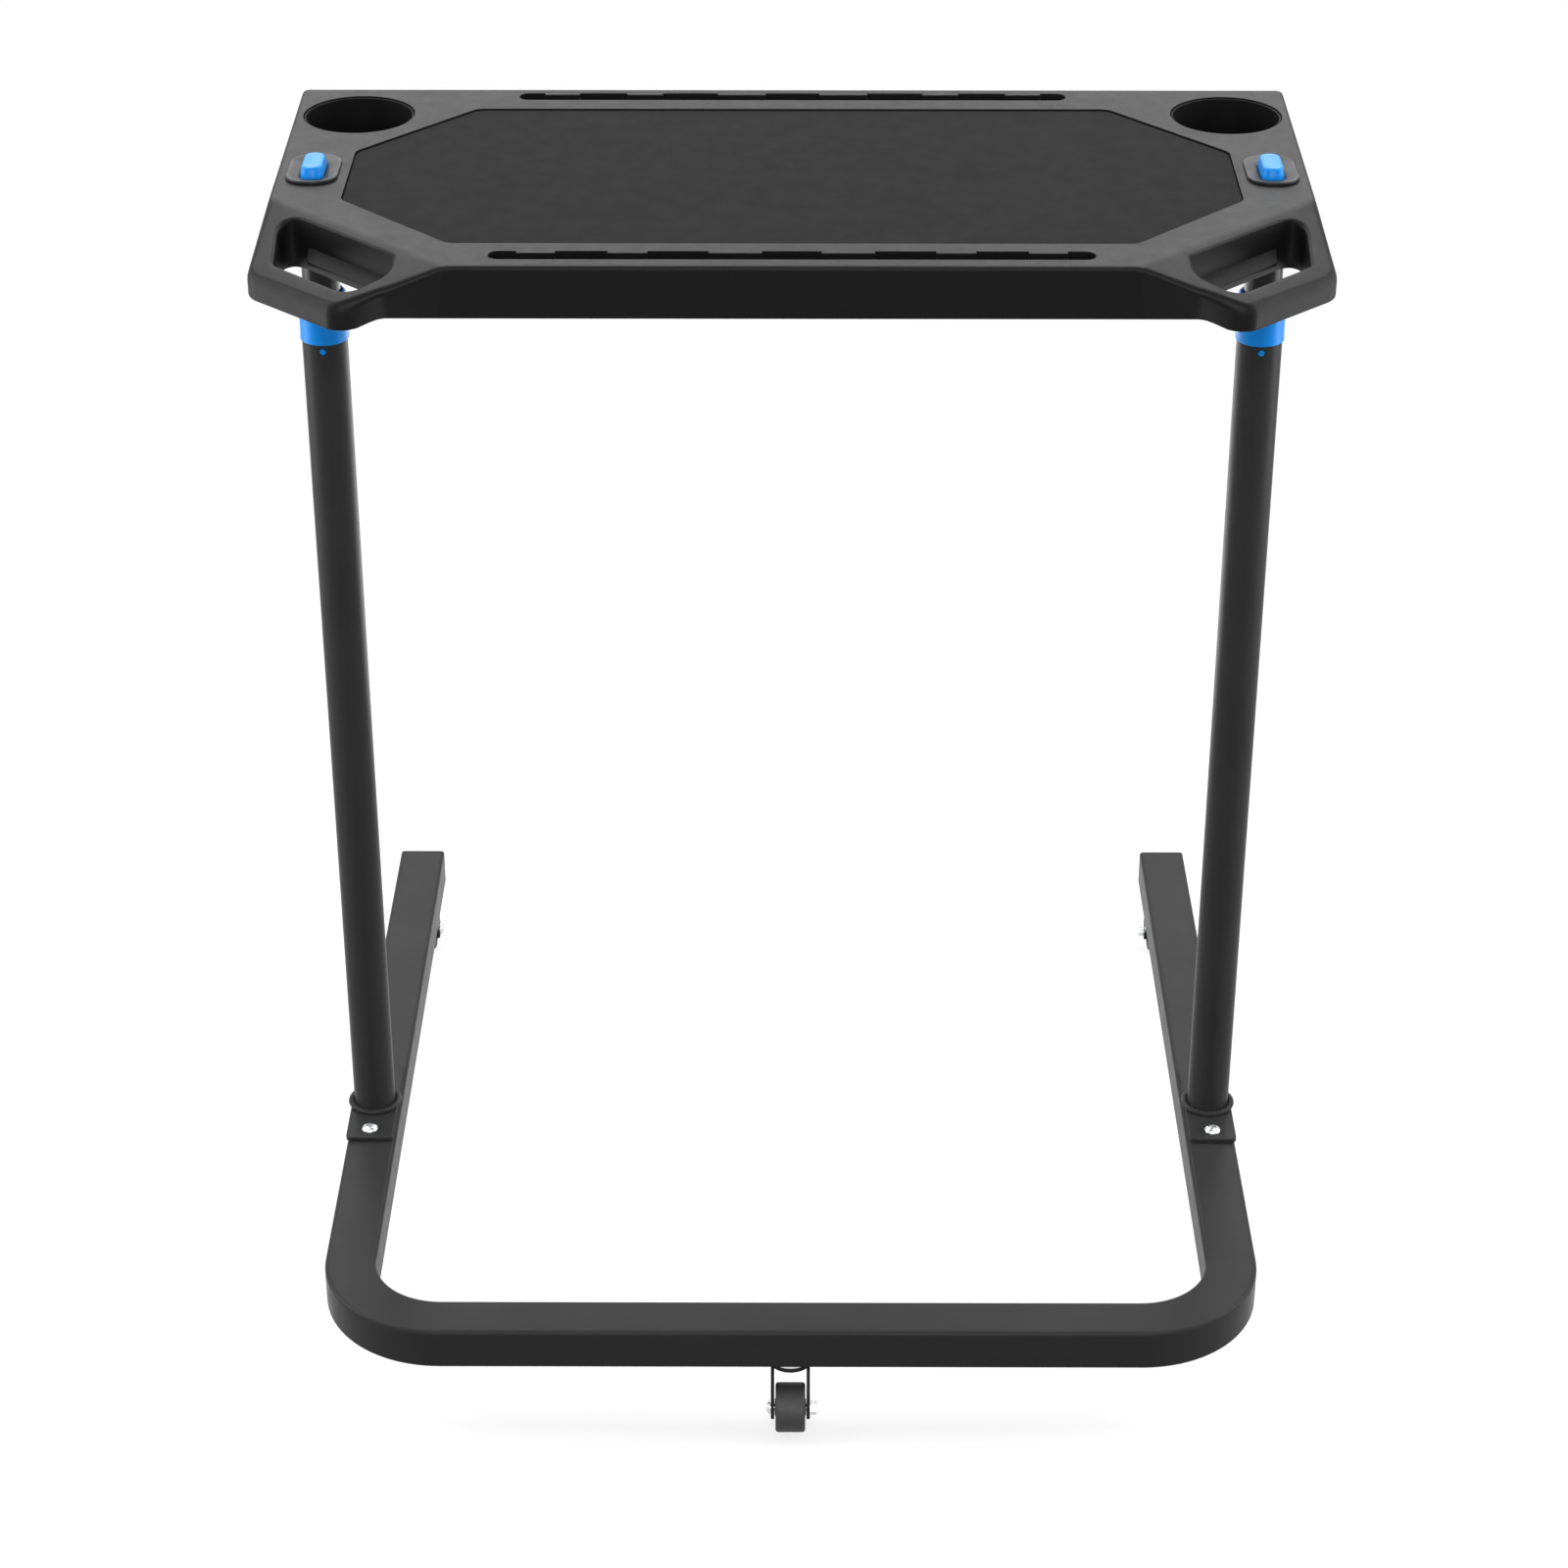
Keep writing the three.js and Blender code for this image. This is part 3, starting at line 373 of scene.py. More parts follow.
class Workpiece:
    """One piece in the making: a mesh and the steps that shape it, in millimetres.

    An outline is a list of corners, counterclockwise from above, with x, y and the radius of each.
    """

    def __init__(self) -> None:
        """Starts with nothing on the bench."""
        self.bm = bmesh.new()

    def outline(self, corners: Iterable[Triple], height: float, segments: int = 10) -> BMFace:
        """A flat face whose corners are rounded.

        Args:
            corners: The outline.
            height: Its height.
            segments: Edges in each rounded corner.

        Returns:
            The face.
        """
        shape = bmesh.new()
        scaled = [(Vector((x * MM, y * MM)), radius * MM) for x, y, radius in corners]
        marks = [shape.verts.new((place.x, place.y, height * MM)) for place, _ in scaled]
        shape.faces.new(marks)
        for i, (place, radius) in enumerate(scaled):
            if radius <= 0:
                continue
            arms = [other - place for other, _ in (scaled[i - 1], scaled[(i + 1) % len(scaled)])]
            setback = radius / math.tan(arms[0].angle(arms[1]) / 2)
            setback = min(setback, *(arm.length * 0.495 for arm in arms))
            bmesh.ops.bevel(shape, geom=[marks[i]], offset=setback, offset_type="OFFSET", segments=segments,
                            profile=0.5, affect="VERTICES", material=-1)
        shape.faces.ensure_lookup_table()
        face = self.close(self.bm.verts.new(v.co) for v in shape.faces[0].verts)
        shape.free()
        return face

    def disc(self, radius: float, height: float, x: float = 0, y: float = 0, segments: int = 72) -> BMFace:
        """A flat round face that looks up.

        Args:
            radius: Its radius.
            height: Its height.
            x: Its place.
            y: Its place.
            segments: Its edges.

        Returns:
            The face.
        """
        made = bmesh.ops.create_circle(self.bm, cap_ends=True, radius=radius * MM, segments=segments,
                                       matrix=Matrix.Translation((x * MM, y * MM, height * MM)))
        face = made["verts"][0].link_faces[0]
        face.normal_update()
        if face.normal.z < 0:
            face.normal_flip()
        return face

    def push(self, face: BMFace, rise: float) -> BMFace:
        """Draws a face straight up or down and returns it in its new place, with its sides behind it."""
        moved = bmesh.ops.extrude_discrete_faces(self.bm, faces=[face])["faces"][0]
        bmesh.ops.translate(self.bm, verts=moved.verts, vec=(0, 0, rise * MM))
        return moved

    def step(self, face: BMFace, steps: Iterable[Pair]) -> BMFace:
        """Draws a face in and up by steps, straight where a step has no inset.

        Args:
            face: The face.
            steps: Inset and rise of each step.

        Returns:
            The face in its last place.
        """
        for inset, rise in steps:
            if inset < 1e-4:
                face = self.push(face, rise)
                continue
            bmesh.ops.inset_region(self.bm, faces=[face], thickness=inset * MM, use_boundary=True,
                                   use_even_offset=True)
            bmesh.ops.translate(self.bm, verts=face.verts, vec=(0, 0, rise * MM))
        return face

    def taper(self, face: BMFace, steps: Iterable[Pair]) -> BMFace:
        """Draws a face up by steps and scales it about the upright axis at each.

        Args:
            face: The face.
            steps: Scale and rise of each step.

        Returns:
            The face in its last place.
        """
        for scale, rise in steps:
            face = self.push(face, rise)
            bmesh.ops.scale(self.bm, vec=(scale, scale, 1), verts=face.verts)
        return face

    def sink(self, face: BMFace, lip: float, depth: float, segments: int = 4) -> BMFace:
        """Draws a face down with a rounded lip of some radius and segments, to a depth."""
        return self.step(face, [*lip_steps(lip, segments), (0, lip - depth)])

    def slab(self, corners: Iterable[Triple], height: float, steps: Sequence[Pair],
             segments: int = 10) -> BMFace:
        """A solid that grows up or down from an outline by steps.

        Args:
            corners: The outline.
            height: The outline's height.
            steps: Inset and rise of each step.
            segments: Edges in each rounded corner.

        Returns:
            The face that closes it where it begins.
        """
        face = self.outline(corners, height, segments)
        start = list(face.verts)
        self.step(face, steps)
        return self.close(reversed(start) if steps[0][1] > 0 else start)

    def cut(self, start: Vector, normal: Vector) -> None:
        """Cuts every face along a plane, through a point and square to a normal."""
        bmesh.ops.bisect_plane(self.bm, geom=[*self.bm.verts, *self.bm.edges, *self.bm.faces], dist=1e-7,
                               plane_co=start, plane_no=normal)

    def open(self, *faces: BMFace) -> None:
        """Takes faces out and leaves their edges."""
        bmesh.ops.delete(self.bm, geom=list(faces), context="FACES_ONLY")

    def close(self, verts: Iterable[BMVert]) -> BMFace:
        """Closes a loop of points with a face and returns it."""
        face = self.bm.faces.new(list(verts))
        face.normal_update()
        return face

    def fill(self, height: float) -> None:
        """Fills the flat between all open loops at a height, leaving the inner loops open.

        Args:
            height: The height.
        """
        loops = [e for e in self.bm.edges
                 if len(e.link_faces) < 2 and all(abs(v.co.z - height * MM) < 1e-5 for v in e.verts)]
        bmesh.ops.triangle_fill(self.bm, use_beauty=True, use_dissolve=False, edges=loops)

    def turn(self, profile: Sequence[Pair], closed: bool = False, segments: int = 72) -> None:
        """Turns a profile about the upright axis.

        Args:
            profile: Radius and height of each point.
            closed: Whether the last point joins the first, as on a ring.
            segments: Steps round the axis.
        """
        points = [self.bm.verts.new((r * MM, 0, z * MM)) for r, z in profile]
        pairs = list(zip(points, points[1:])) + ([(points[-1], points[0])] if closed else [])
        edges = [self.bm.edges.new(pair) for pair in pairs]
        bmesh.ops.spin(self.bm, geom=points + edges, cent=(0, 0, 0), axis=(0, 0, 1), angle=2 * math.pi,
                       steps=segments, use_merge=True, use_duplicate=False)
        bmesh.ops.remove_doubles(self.bm, verts=self.bm.verts, dist=1e-6)

    def draw(self, loop: list[BMEdge], x: float, y: float) -> list[BMEdge]:
        """Draws a loop of edges straight on.

        Args:
            loop: The edges.
            x: How far across.
            y: How far along.

        Returns:
            The loop in its new place.
        """
        made = bmesh.ops.extrude_edge_only(self.bm, edges=loop)["geom"]
        points = [g for g in made if isinstance(g, BMVert)]
        bmesh.ops.translate(self.bm, vec=(x * MM, y * MM, 0), verts=points)
        return [g for g in made if isinstance(g, BMEdge)]

    def bend(self, loop: list[BMEdge], x: float, y: float) -> list[BMEdge]:
        """Draws a loop of edges through a quarter turn about an upright axis.

        Args:
            loop: The edges.
            x: The axis's place.
            y: The axis's place.

        Returns:
            The loop in its new place.
        """
        ring = list(dict.fromkeys(v for e in loop for v in e.verts))
        made = bmesh.ops.spin(self.bm, geom=ring + loop, cent=(x * MM, y * MM, 0), axis=(0, 0, 1),
                              angle=math.pi / 2, steps=24)["geom_last"]
        return [g for g in made if isinstance(g, BMEdge)]

    def rod(self, radius: float, length: float, place: Matrix, tip: float | None = None,
            segments: int = 28) -> None:
        """Adds a solid rod about a place's own Z axis, where it tapers with another radius at its tip."""
        made = bmesh.ops.create_cone(self.bm, cap_ends=True, segments=segments, radius1=radius * MM,
                                     radius2=(radius if tip is None else tip) * MM, depth=length * MM)
        bmesh.ops.transform(self.bm, matrix=place, verts=made["verts"])

    def place(self, matrix: Matrix, known: Iterable[BMVert] = ()) -> None:
        """Moves everything on the bench but the points that are known."""
        bmesh.ops.transform(self.bm, matrix=matrix, verts=list(set(self.bm.verts) - set(known)))

    def finish(self, name: str, finish: Palette, body: str, *stands_for: str, mark: object = None,
               place: Matrix | None = None, smooth: float = 38) -> bpy.types.Object:
        """Makes the object of the piece.

        Args:
            name: The piece's name.
            finish: Its finish.
            body: The body that it moves with.
            stands_for: The nodes that it takes the place of.
            mark: What ends its name and theirs, such as its side.
            place: Where it goes from the bench, or nothing for the middle of the posts' line.
            smooth: The greatest angle shaded round, in degrees.

        Returns:
            The object.
        """
        ending = f"_{mark}" if mark else ""
        name += ending
        self.place(at() if place is None else place)
        bmesh.ops.recalc_face_normals(self.bm, faces=self.bm.faces)
        mesh = bpy.data.meshes.new(name)
        self.bm.to_mesh(mesh)
        self.bm.free()
        mesh.polygons.foreach_set("use_smooth", [True] * len(mesh.polygons))
        mesh.set_sharp_from_angle(angle=math.radians(smooth))
        mesh.materials.append(finish.material())
        piece = show(name, mesh)
        piece.modifiers.new("even_normals", "WEIGHTED_NORMAL").keep_sharp = True
        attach(piece, body)
        if stands_for:
            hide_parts(*(node + ending for node in stands_for))
        log.info("%s: %d faces", name, len(mesh.polygons))
        return piece


# Tray
@dataclass
class Tray:
    """The moulded tray with its skirt, sloping handles, hand holes, slots and cup holes, in millimetres."""

    recess: list[Triple]
    half_waist: float = 390
    half_back: float = 393.5
    half_handle: float = 396.9
    crease_half: float = 246
    back: float = 190
    front: float = 200
    waist: float = 61
    handle_corner: float = 157
    nose_half: float = 326
    nose: float = 222
    skirt_bottom: float = 909
    skirt_edge: float = 1.2
    ceiling: float = 946
    wall: float = 3
    edge_radius: float = 3
    handle_edge_width: float = 5.5
    handle_edge_fall: float = 8.5
    handle_edge_run: float = 20
    handle_slope: float = 22.5 / 72.5
    crease_shifts: tuple[float, ...] = (-3.0, -1.0, 1.0, 3.0)
    draft: float = 4
    sweep: Pair = (292, 320)
    sweep_margin: float = 4
    sweep_cuts: int = 9
    hand_hole: tuple[Triple, ...] = (
        (383.3, -74.4, 20), (380, -152, 11), (317.1, -212.1, 20), (284, -195.1, 18), (284, -170.3, 8))
    lip_radius: float = 4.5
    crease_lip_share: float = 0.3
    crease_lip_reach: float = 9
    ledge: tuple[Triple, ...] = ((357, -99.8, 0), (357, -116.5, 4), (286, -185, 0), (286, -168.3, 0))
    ledge_drop: float = 29
    ledge_edge: float = 0.8
    ledge_slope: float = 0.55
    ledge_level: float = 17
    recess_depth: float = 2.9
    recess_lip: float = 0.4
    hole_lip: float = 0.6
    cup_radius: float = 43.8
    slot_half: float = 218.5
    slot_width: float = 17
    slot_depth: float = 22
    slot_corner: float = 8
    slot_places: Pair = (171.5, -176.5)
    tooth_depth: float = 4
    tooth_corner: float = 0.8
    tooth_shares: tuple[Pair, ...] = ((0.1, 0.272), (0.477, 0.604), (0.781, 0.905))
    sleeve_hole: Triple = (22.7, 45.2, 8)
    boss_radius: float = 5.5
    boss_shift: Pair = (34, 30)
    boss_bottom: float = 920.3
    work: Workpiece = field(default_factory=Workpiece)

    def crease(self) -> Vector:
        """The direction of the right handle's crease, seen from above."""
        return Vector((self.half_waist - self.crease_half, self.front - self.waist)).normalized()

    def crease_distance(self, point: Vector) -> float:
        """How far a point lies beyond the crease of its handle.

        Args:
            point: The point, in metres.

        Returns:
            The distance in metres, negative on the main tray.
        """
        run = self.crease()
        x, y = abs(point.x) - self.half_waist * MM, point.y + self.waist * MM
        return x * run.y - y * run.x

    def crease_plane(self, side: Side, reach: float) -> tuple[Vector, Vector]:
        """The upright plane along a side's crease.

        Args:
            side: The side.
            reach: How far beyond the crease it stands.

        Returns:
            A point of the plane in metres, and its outward normal.
        """
        run = self.crease()
        outward = Vector((side.value * run.y, -run.x, 0))
        return Vector((side.value * self.half_waist, -self.waist, 0)) * MM + outward * reach * MM, outward

    def rim(self) -> None:
        """Builds the skirt's outer wall, the rounded edge over it and its foot."""
        corners = mirrored([
            (self.half_back, self.back, 6), (self.half_waist, -self.waist, 24),
            (self.half_handle, -self.handle_corner, 22), (self.nose_half, -self.nose, 14),
            (self.crease_half, -self.front, 24)])
        face = self.work.outline(corners, self.skirt_bottom + self.skirt_edge)
        foot = list(face.verts)
        face = self.work.push(face, TRAY_TOP - self.edge_radius - self.skirt_bottom - self.skirt_edge)
        self.set_rim(face, 0)
        reach, left = 0.0, self.handle_edge_width - self.edge_radius
        for inset in (*(inset for inset, _ in edge_steps(self.edge_radius)), left * 0.4, left * 0.6):
            face = self.work.step(face, [(inset, 0)])
            reach += inset
            self.set_rim(face, reach)
        self.work.open(face)
        self.work.open(self.work.step(self.work.close(reversed(foot)), edge_steps(self.skirt_edge, 3, -1)))

    def set_rim(self, ring: BMFace, reach: float) -> None:
        """Sets the height of a ring of the rounded edge, which is wider along the handles.

        Args:
            ring: The face whose border is the ring.
            reach: How far it lies in from the wall.
        """
        for vert in ring.verts:
            share = ease(self.crease_distance(vert.co) / (self.handle_edge_run * MM))
            fall = round_fall(self.edge_radius, self.edge_radius, reach) * (1 - share)
            fall += round_fall(self.handle_edge_width, self.handle_edge_fall, reach) * share
            vert.co.z = (TRAY_TOP - fall) * MM

    def sweep_foot(self) -> None:
        """Draws the front wall's foot back a little, and sweeps it from each nose to it in an S-curve."""
        low, high = self.sweep
        for i in range(self.sweep_cuts):
            x = low - self.sweep_margin + i * (high - low + 2 * self.sweep_margin) / (self.sweep_cuts - 1)
            for way in (-1, 1):
                self.work.cut(Vector((way * x * MM, 0, 0)), Vector((1, 0, 0)))
        for vert in self.work.bm.verts:
            x, y = abs(vert.co.x) / MM, vert.co.y / MM
            rise = (vert.co.z / MM - self.skirt_bottom) / (TRAY_TOP - self.edge_radius - self.skirt_bottom)
            if x < high and rise < 1:
                share = ease((x - low) / (high - low))
                foot = self.draft - self.front - (self.nose - self.front + self.draft) * share
                vert.co.y += max(foot - y, 0) * (1 - max(rise, 0)) * MM

    def cup_holes(self) -> None:
        """Builds the two round holes for the cup wells."""
        for side in Side:
            x = side.value * CUP_HALF
            face = self.work.disc(self.cup_radius + self.hole_lip, TRAY_TOP, x, CUP_BACK, 96)
            self.work.open(self.work.sink(face, self.hole_lip, TRAY_TOP - self.ceiling))

    def slots(self) -> None:
        """Builds the device slots, whose teeth stand out from their far wall, and the troughs under them."""
        for place in self.slot_places:
            far, near = place + self.slot_width / 2, place - self.slot_width / 2
            half = [(self.slot_half, near, self.slot_corner), (self.slot_half, far, self.slot_corner)]
            tip = far - self.tooth_depth
            for low, high in reversed(self.tooth_shares):
                for share, y in ((high, far), (high, tip), (low, tip), (low, far)):
                    half.append((share * self.slot_half, y, self.tooth_corner))
            face = self.work.outline(mirrored(half, Side.RIGHT), TRAY_TOP, 6)
            self.work.sink(face, self.hole_lip, self.slot_depth, 3)
            around = 2 * self.wall
            trough = box_corners(2 * self.slot_half + around, self.slot_width + around, 2, 0, place)
            self.work.push(self.work.outline(trough, self.ceiling, 3),
                           TRAY_TOP - self.slot_depth - self.wall - self.ceiling)

    def sleeve_holes(self) -> None:
        """Builds the holes under the button surrounds and the screw bosses beside them."""
        beside, along = self.boss_shift
        for side in Side:
            x = side.value * POST_HALF
            hole = self.work.outline(box_corners(*self.sleeve_hole, x), TRAY_TOP)
            self.work.open(self.work.push(hole, self.ceiling - TRAY_TOP))
            for y in (-along, along):
                boss = self.work.disc(self.boss_radius, self.ceiling, x - side.value * beside, y, 32)
                self.work.push(boss, self.boss_bottom - self.ceiling)

    def hand_holes(self) -> None:
        """Builds the hand holes, whose lip is smaller along the crease."""
        for side in Side:
            outward = self.crease_plane(side, 0)[1]
            face = self.work.outline(side.outline(self.hand_hole), TRAY_TOP, 14)
            for inset, rise in lip_steps(self.lip_radius, 6):
                face = self.work.step(face, [(inset, rise)])
                for vert in face.verts:
                    near = ease(2 - self.crease_distance(vert.co) / MM / self.crease_lip_reach)
                    pull = (1 - self.crease_lip_share) * near * MM
                    vert.co -= (outward * inset + Vector((0, 0, rise))) * pull
            face = self.work.push(face, self.skirt_bottom - TRAY_TOP)
            for vert in face.verts:
                vert.co.z = self.skirt_bottom * MM
            self.work.open(face)

    def ledges(self) -> None:
        """Builds the thin finger ledge in each hand hole, which slopes down away from the main tray."""
        low, thickness = TRAY_TOP - self.ledge_drop - self.wall, self.wall - 2 * self.ledge_edge
        for side in Side:
            known = set(self.work.bm.verts)
            under = self.work.slab(side.outline(self.ledge), low + self.ledge_edge,
                                   [(0, thickness), *edge_steps(self.ledge_edge, 3)], 5)
            self.work.step(under, edge_steps(self.ledge_edge, 3, -1))
            for vert in set(self.work.bm.verts) - known:
                vert.co.z += (self.ledge_level * MM - self.crease_distance(vert.co)) * self.ledge_slope

    def cavity(self) -> None:
        """Builds the hollow under the main tray."""
        back = self.wall * math.sqrt(2)
        corners = mirrored([
            (self.half_back - self.wall, self.back - self.wall, 3),
            (self.half_waist - self.wall, back - self.waist, 3),
            (self.crease_half - back / 2, self.wall + self.draft - self.front, 6)])
        face = self.work.outline(corners, self.skirt_bottom, 5)
        self.work.open(self.work.push(face, self.ceiling - self.skirt_bottom))

    def slope_handles(self) -> None:
        """Creases the top along both handles and lets it fall beyond, with a small rounding at the crease."""
        for side in Side:
            for shift in self.crease_shifts:
                self.work.cut(*self.crease_plane(side, shift))
        for vert in self.work.bm.verts:
            if vert.co.z > (TRAY_TOP - 10) * MM:
                past = self.crease_distance(vert.co)
                fall = sum(max(past - shift * MM, 0) for shift in self.crease_shifts)
                vert.co.z -= fall * self.handle_slope / len(self.crease_shifts)

    def build(self) -> None:
        """Builds the tray."""
        self.rim()
        self.sweep_foot()
        self.cup_holes()
        self.slots()
        self.work.sink(self.work.outline(self.recess, TRAY_TOP), self.recess_lip, self.recess_depth, 2)
        self.sleeve_holes()
        self.hand_holes()
        self.cavity()
        for height in (TRAY_TOP, self.skirt_bottom, self.ceiling):
            self.work.fill(height)
        self.slope_handles()
        self.ledges()
        self.work.finish("tray_moulding", Palette.TRAY, "tray", "tray_shell")


@dataclass
class Mat:
    """The eight-sided non-slip mat, in millimetres."""

    half_width: float = 335
    half_long: float = 249
    back: float = 141
    front: float = 152
    side_back: float = 42
    side_front: float = 63
    corner: float = 12
    top: float = 948.8
    thickness: float = 1.4
    edge_radius: float = 0.6
    play: float = 1.2

    def corners(self, margin: float) -> list[Triple]:
        """The mat's outline, grown by a margin on each side."""
        return mirrored([
            (self.half_long + margin / 2, self.back + margin, self.corner),
            (self.half_width + margin, self.side_back + margin / 2, self.corner),
            (self.half_width + margin, -self.side_front - margin / 2, self.corner),
            (self.half_long + margin / 2, -self.front - margin, self.corner)])

    def build(self) -> None:
        """Builds the mat."""
        work = Workpiece()
        work.slab(self.corners(0), self.top - self.thickness,
                  [(0, self.thickness - self.edge_radius), *edge_steps(self.edge_radius, 3)])
        work.finish("mat_sheet", Palette.MAT, "tray", "mat")


@dataclass
class CupWell:
    """A cup well that hangs in its hole in the tray by its rim and a hidden flange, in millimetres."""

    side: Side
    radius: float = 43.5
    depth: float = 60
    wall: float = 2
    floor_radius: float = 36
    neck_radius: float = 42.4
    groove: Pair = (11, 14)
    groove_depth: float = 0.5
    rim: float = 949
    bevel: float = 0.25
    flange_radius: float = 47.3
    flange_bottom: float = 943.7
    flange_top: float = 945.7

    def build(self) -> None:
        """Builds the well, whose floor has a ring-shaped groove."""
        floor, across, (start, end) = TRAY_TOP - self.depth, self.floor_radius, self.groove
        under, bed = floor - self.wall, floor - self.groove_depth
        shell = [(0, under), (across, under), (across + self.wall, floor),
                 (self.neck_radius, self.flange_bottom)]
        flange = [(self.flange_radius, self.flange_bottom), (self.flange_radius, self.flange_top)]
        rim = [(self.radius, self.flange_top), (self.radius, self.rim - 0.4), (self.radius - 0.5, self.rim),
               (self.radius - 1.5, self.rim), (self.radius - 2, self.rim - 0.6)]
        inside = [(across + 1.6, floor + 5), (across + 0.2, floor + 1.6), (across - 2.4, floor + 0.2),
                  (across - 6, floor), (end, floor), (end - 0.8, bed), (start + 0.8, bed), (start, floor),
                  (0, floor)]
        work = Workpiece()
        work.turn([*shell, *flange, *rim, *inside], segments=96)
        bmesh.ops.recalc_face_normals(work.bm, faces=work.bm.faces)
        low = (self.flange_bottom - 0.2) * MM
        sharp = [e for e in work.bm.edges if len(e.link_faces) == 2 and all(v.co.z > low for v in e.verts)
                 and e.calc_face_angle(0.0) > math.radians(30)]
        bmesh.ops.bevel(work.bm, geom=sharp, offset=self.bevel * MM, offset_type="OFFSET", segments=2,
                        profile=0.5, affect="EDGES", clamp_overlap=True, material=-1)
        work.finish("cup_well", Palette.CUP_WELL, "tray", "cup_liner", mark=self.side,
                    place=at(self.side.value * CUP_HALF, CUP_BACK))


@dataclass
class Button:
    """A push button and its raised surround, in millimetres."""

    side: Side
    width: float = 17.5
    depth: float = 40
    corner: float = 7.5
    flange: float = 2
    flange_bottom: float = 938.7
    sides: tuple[Pair, ...] = ((0.97, 2.6), (0.96, 2.0), (0.975, 1.2))
    edge_radius: float = 2.2
    dish: tuple[Pair, ...] = ((0.9, -0.04), (0.8, -0.16), (0.6, -0.2), (0.3, -0.05))
    plate_width: float = 39.5
    plate_depth: float = 66
    plate_corner: float = 17
    plate_edge: float = 1.1
    plate_dish: tuple[Pair, ...] = ((0.9, 0.05), (0.8, -0.15), (1.6, -0.55), (2.6, -0.9), (2.2, -0.5))
    front_height: float = 2.6
    back_height: float = 1.2
    dish_depth: float = 1.1
    sleeve_depth: float = 9

    def around(self, margin: float) -> list[Triple]:
        """The button's outline, grown by a margin on each side."""
        return box_corners(self.width + 2 * margin, self.depth + 2 * margin, self.corner + margin)

    def cap(self) -> None:
        """Builds the button, whose sides taper and whose top has a shallow dish for the finger."""
        work = Workpiece()
        face = work.outline(self.around(self.flange), self.flange_bottom, 10)
        foot = list(face.verts)
        rise = TRAY_TOP - self.flange_bottom - self.flange
        face = work.step(face, [(0, self.flange), (self.flange, 0), (0, rise)])
        face = work.step(work.taper(face, self.sides), edge_steps(self.edge_radius, 5))
        work.taper(face, self.dish)
        work.close(reversed(foot))
        work.finish("push_button", Palette.BLUE, f"button_{self.side}", "button", mark=self.side,
                    place=at(self.side.value * POST_HALF))

    def surround(self) -> None:
        """Builds the surround: thick at the front, thin at the back, dished down to the button."""
        seat, foot = TRAY_TOP + GAP, TRAY_TOP - self.sleeve_depth
        height = TRAY_TOP + self.front_height - seat
        thin = (TRAY_TOP + self.back_height - seat) / height
        work = Workpiece()
        face = work.outline(box_corners(self.plate_width, self.plate_depth, self.plate_corner), seat, 14)
        rim = [(0, height - self.plate_edge), *edge_steps(self.plate_edge)]
        face = work.step(face, [*rim, *self.plate_dish])
        dish = list(face.edges)
        work.open(face)
        face = work.outline(self.around(GAP), seat - self.dish_depth, 14)
        bmesh.ops.bridge_loops(work.bm, edges=[*dish, *face.edges])
        for vert in work.bm.verts:
            share = vert.co.y / (self.plate_depth * MM) + 0.5
            vert.co.z = seat * MM + (vert.co.z - seat * MM) * (1 + (thin - 1) * share)
        face = work.push(face, foot - seat)
        for vert in face.verts:
            vert.co.z = foot * MM
        work.open(face)
        work.open(work.push(work.outline(self.around(self.flange + GAP), foot, 8), seat - foot))
        work.fill(foot)
        work.fill(seat)
        work.finish("button_surround", Palette.BLACK_PLASTIC, "tray", "button_bezel", mark=self.side,
                    place=at(self.side.value * POST_HALF))


# Posts
def drilled(piece: bpy.types.Object, drill: Workpiece) -> None:
    """Cuts holes through a piece and keeps the result in its mesh.

    Args:
        piece: The piece, still about the upright axis.
        drill: The solids that are cut out.
    """
    mesh = bpy.data.meshes.new("drill")
    drill.bm.to_mesh(mesh)
    drill.bm.free()
    tool = show("drill", mesh)
    piece.modifiers.clear()
    cut = piece.modifiers.new("holes", "BOOLEAN")
    cut.object, cut.operation, cut.solver = tool, "DIFFERENCE", "EXACT"
    bpy.context.view_layer.update()
    result = bpy.data.meshes.new_from_object(piece.evaluated_get(bpy.context.evaluated_depsgraph_get()))
    piece.modifiers.clear()
    old, piece.data = piece.data, result
    result.name = old.name
    bpy.data.objects.remove(tool)
    for spent in (old, mesh):
        bpy.data.meshes.remove(spent)


def radial_shading(piece: bpy.types.Object, axis: Vector, radius: float) -> None:
    """Shades a tube's outer face as a true round.

    Args:
        piece: The tube.
        axis: The place of its axis.
        radius: Its outer radius.
    """
    slope, within, facing = 0.3, 0.99, 0.9
    mesh = piece.data
    normals: list[Vector] = [Vector()] * len(mesh.loops)
    for face in mesh.polygons:
        outer = abs(face.normal.z) < slope and (face.center - axis).xy.length > radius * within
        for loop in face.loop_indices:
            away = mesh.vertices[mesh.loops[loop].vertex_index].co - axis
            outward = Vector((away.x, away.y, 0)).normalized()
            normals[loop] = outward if outer and outward.dot(face.normal) > facing else face.normal.copy()
    mesh.normals_split_custom_set(normals)


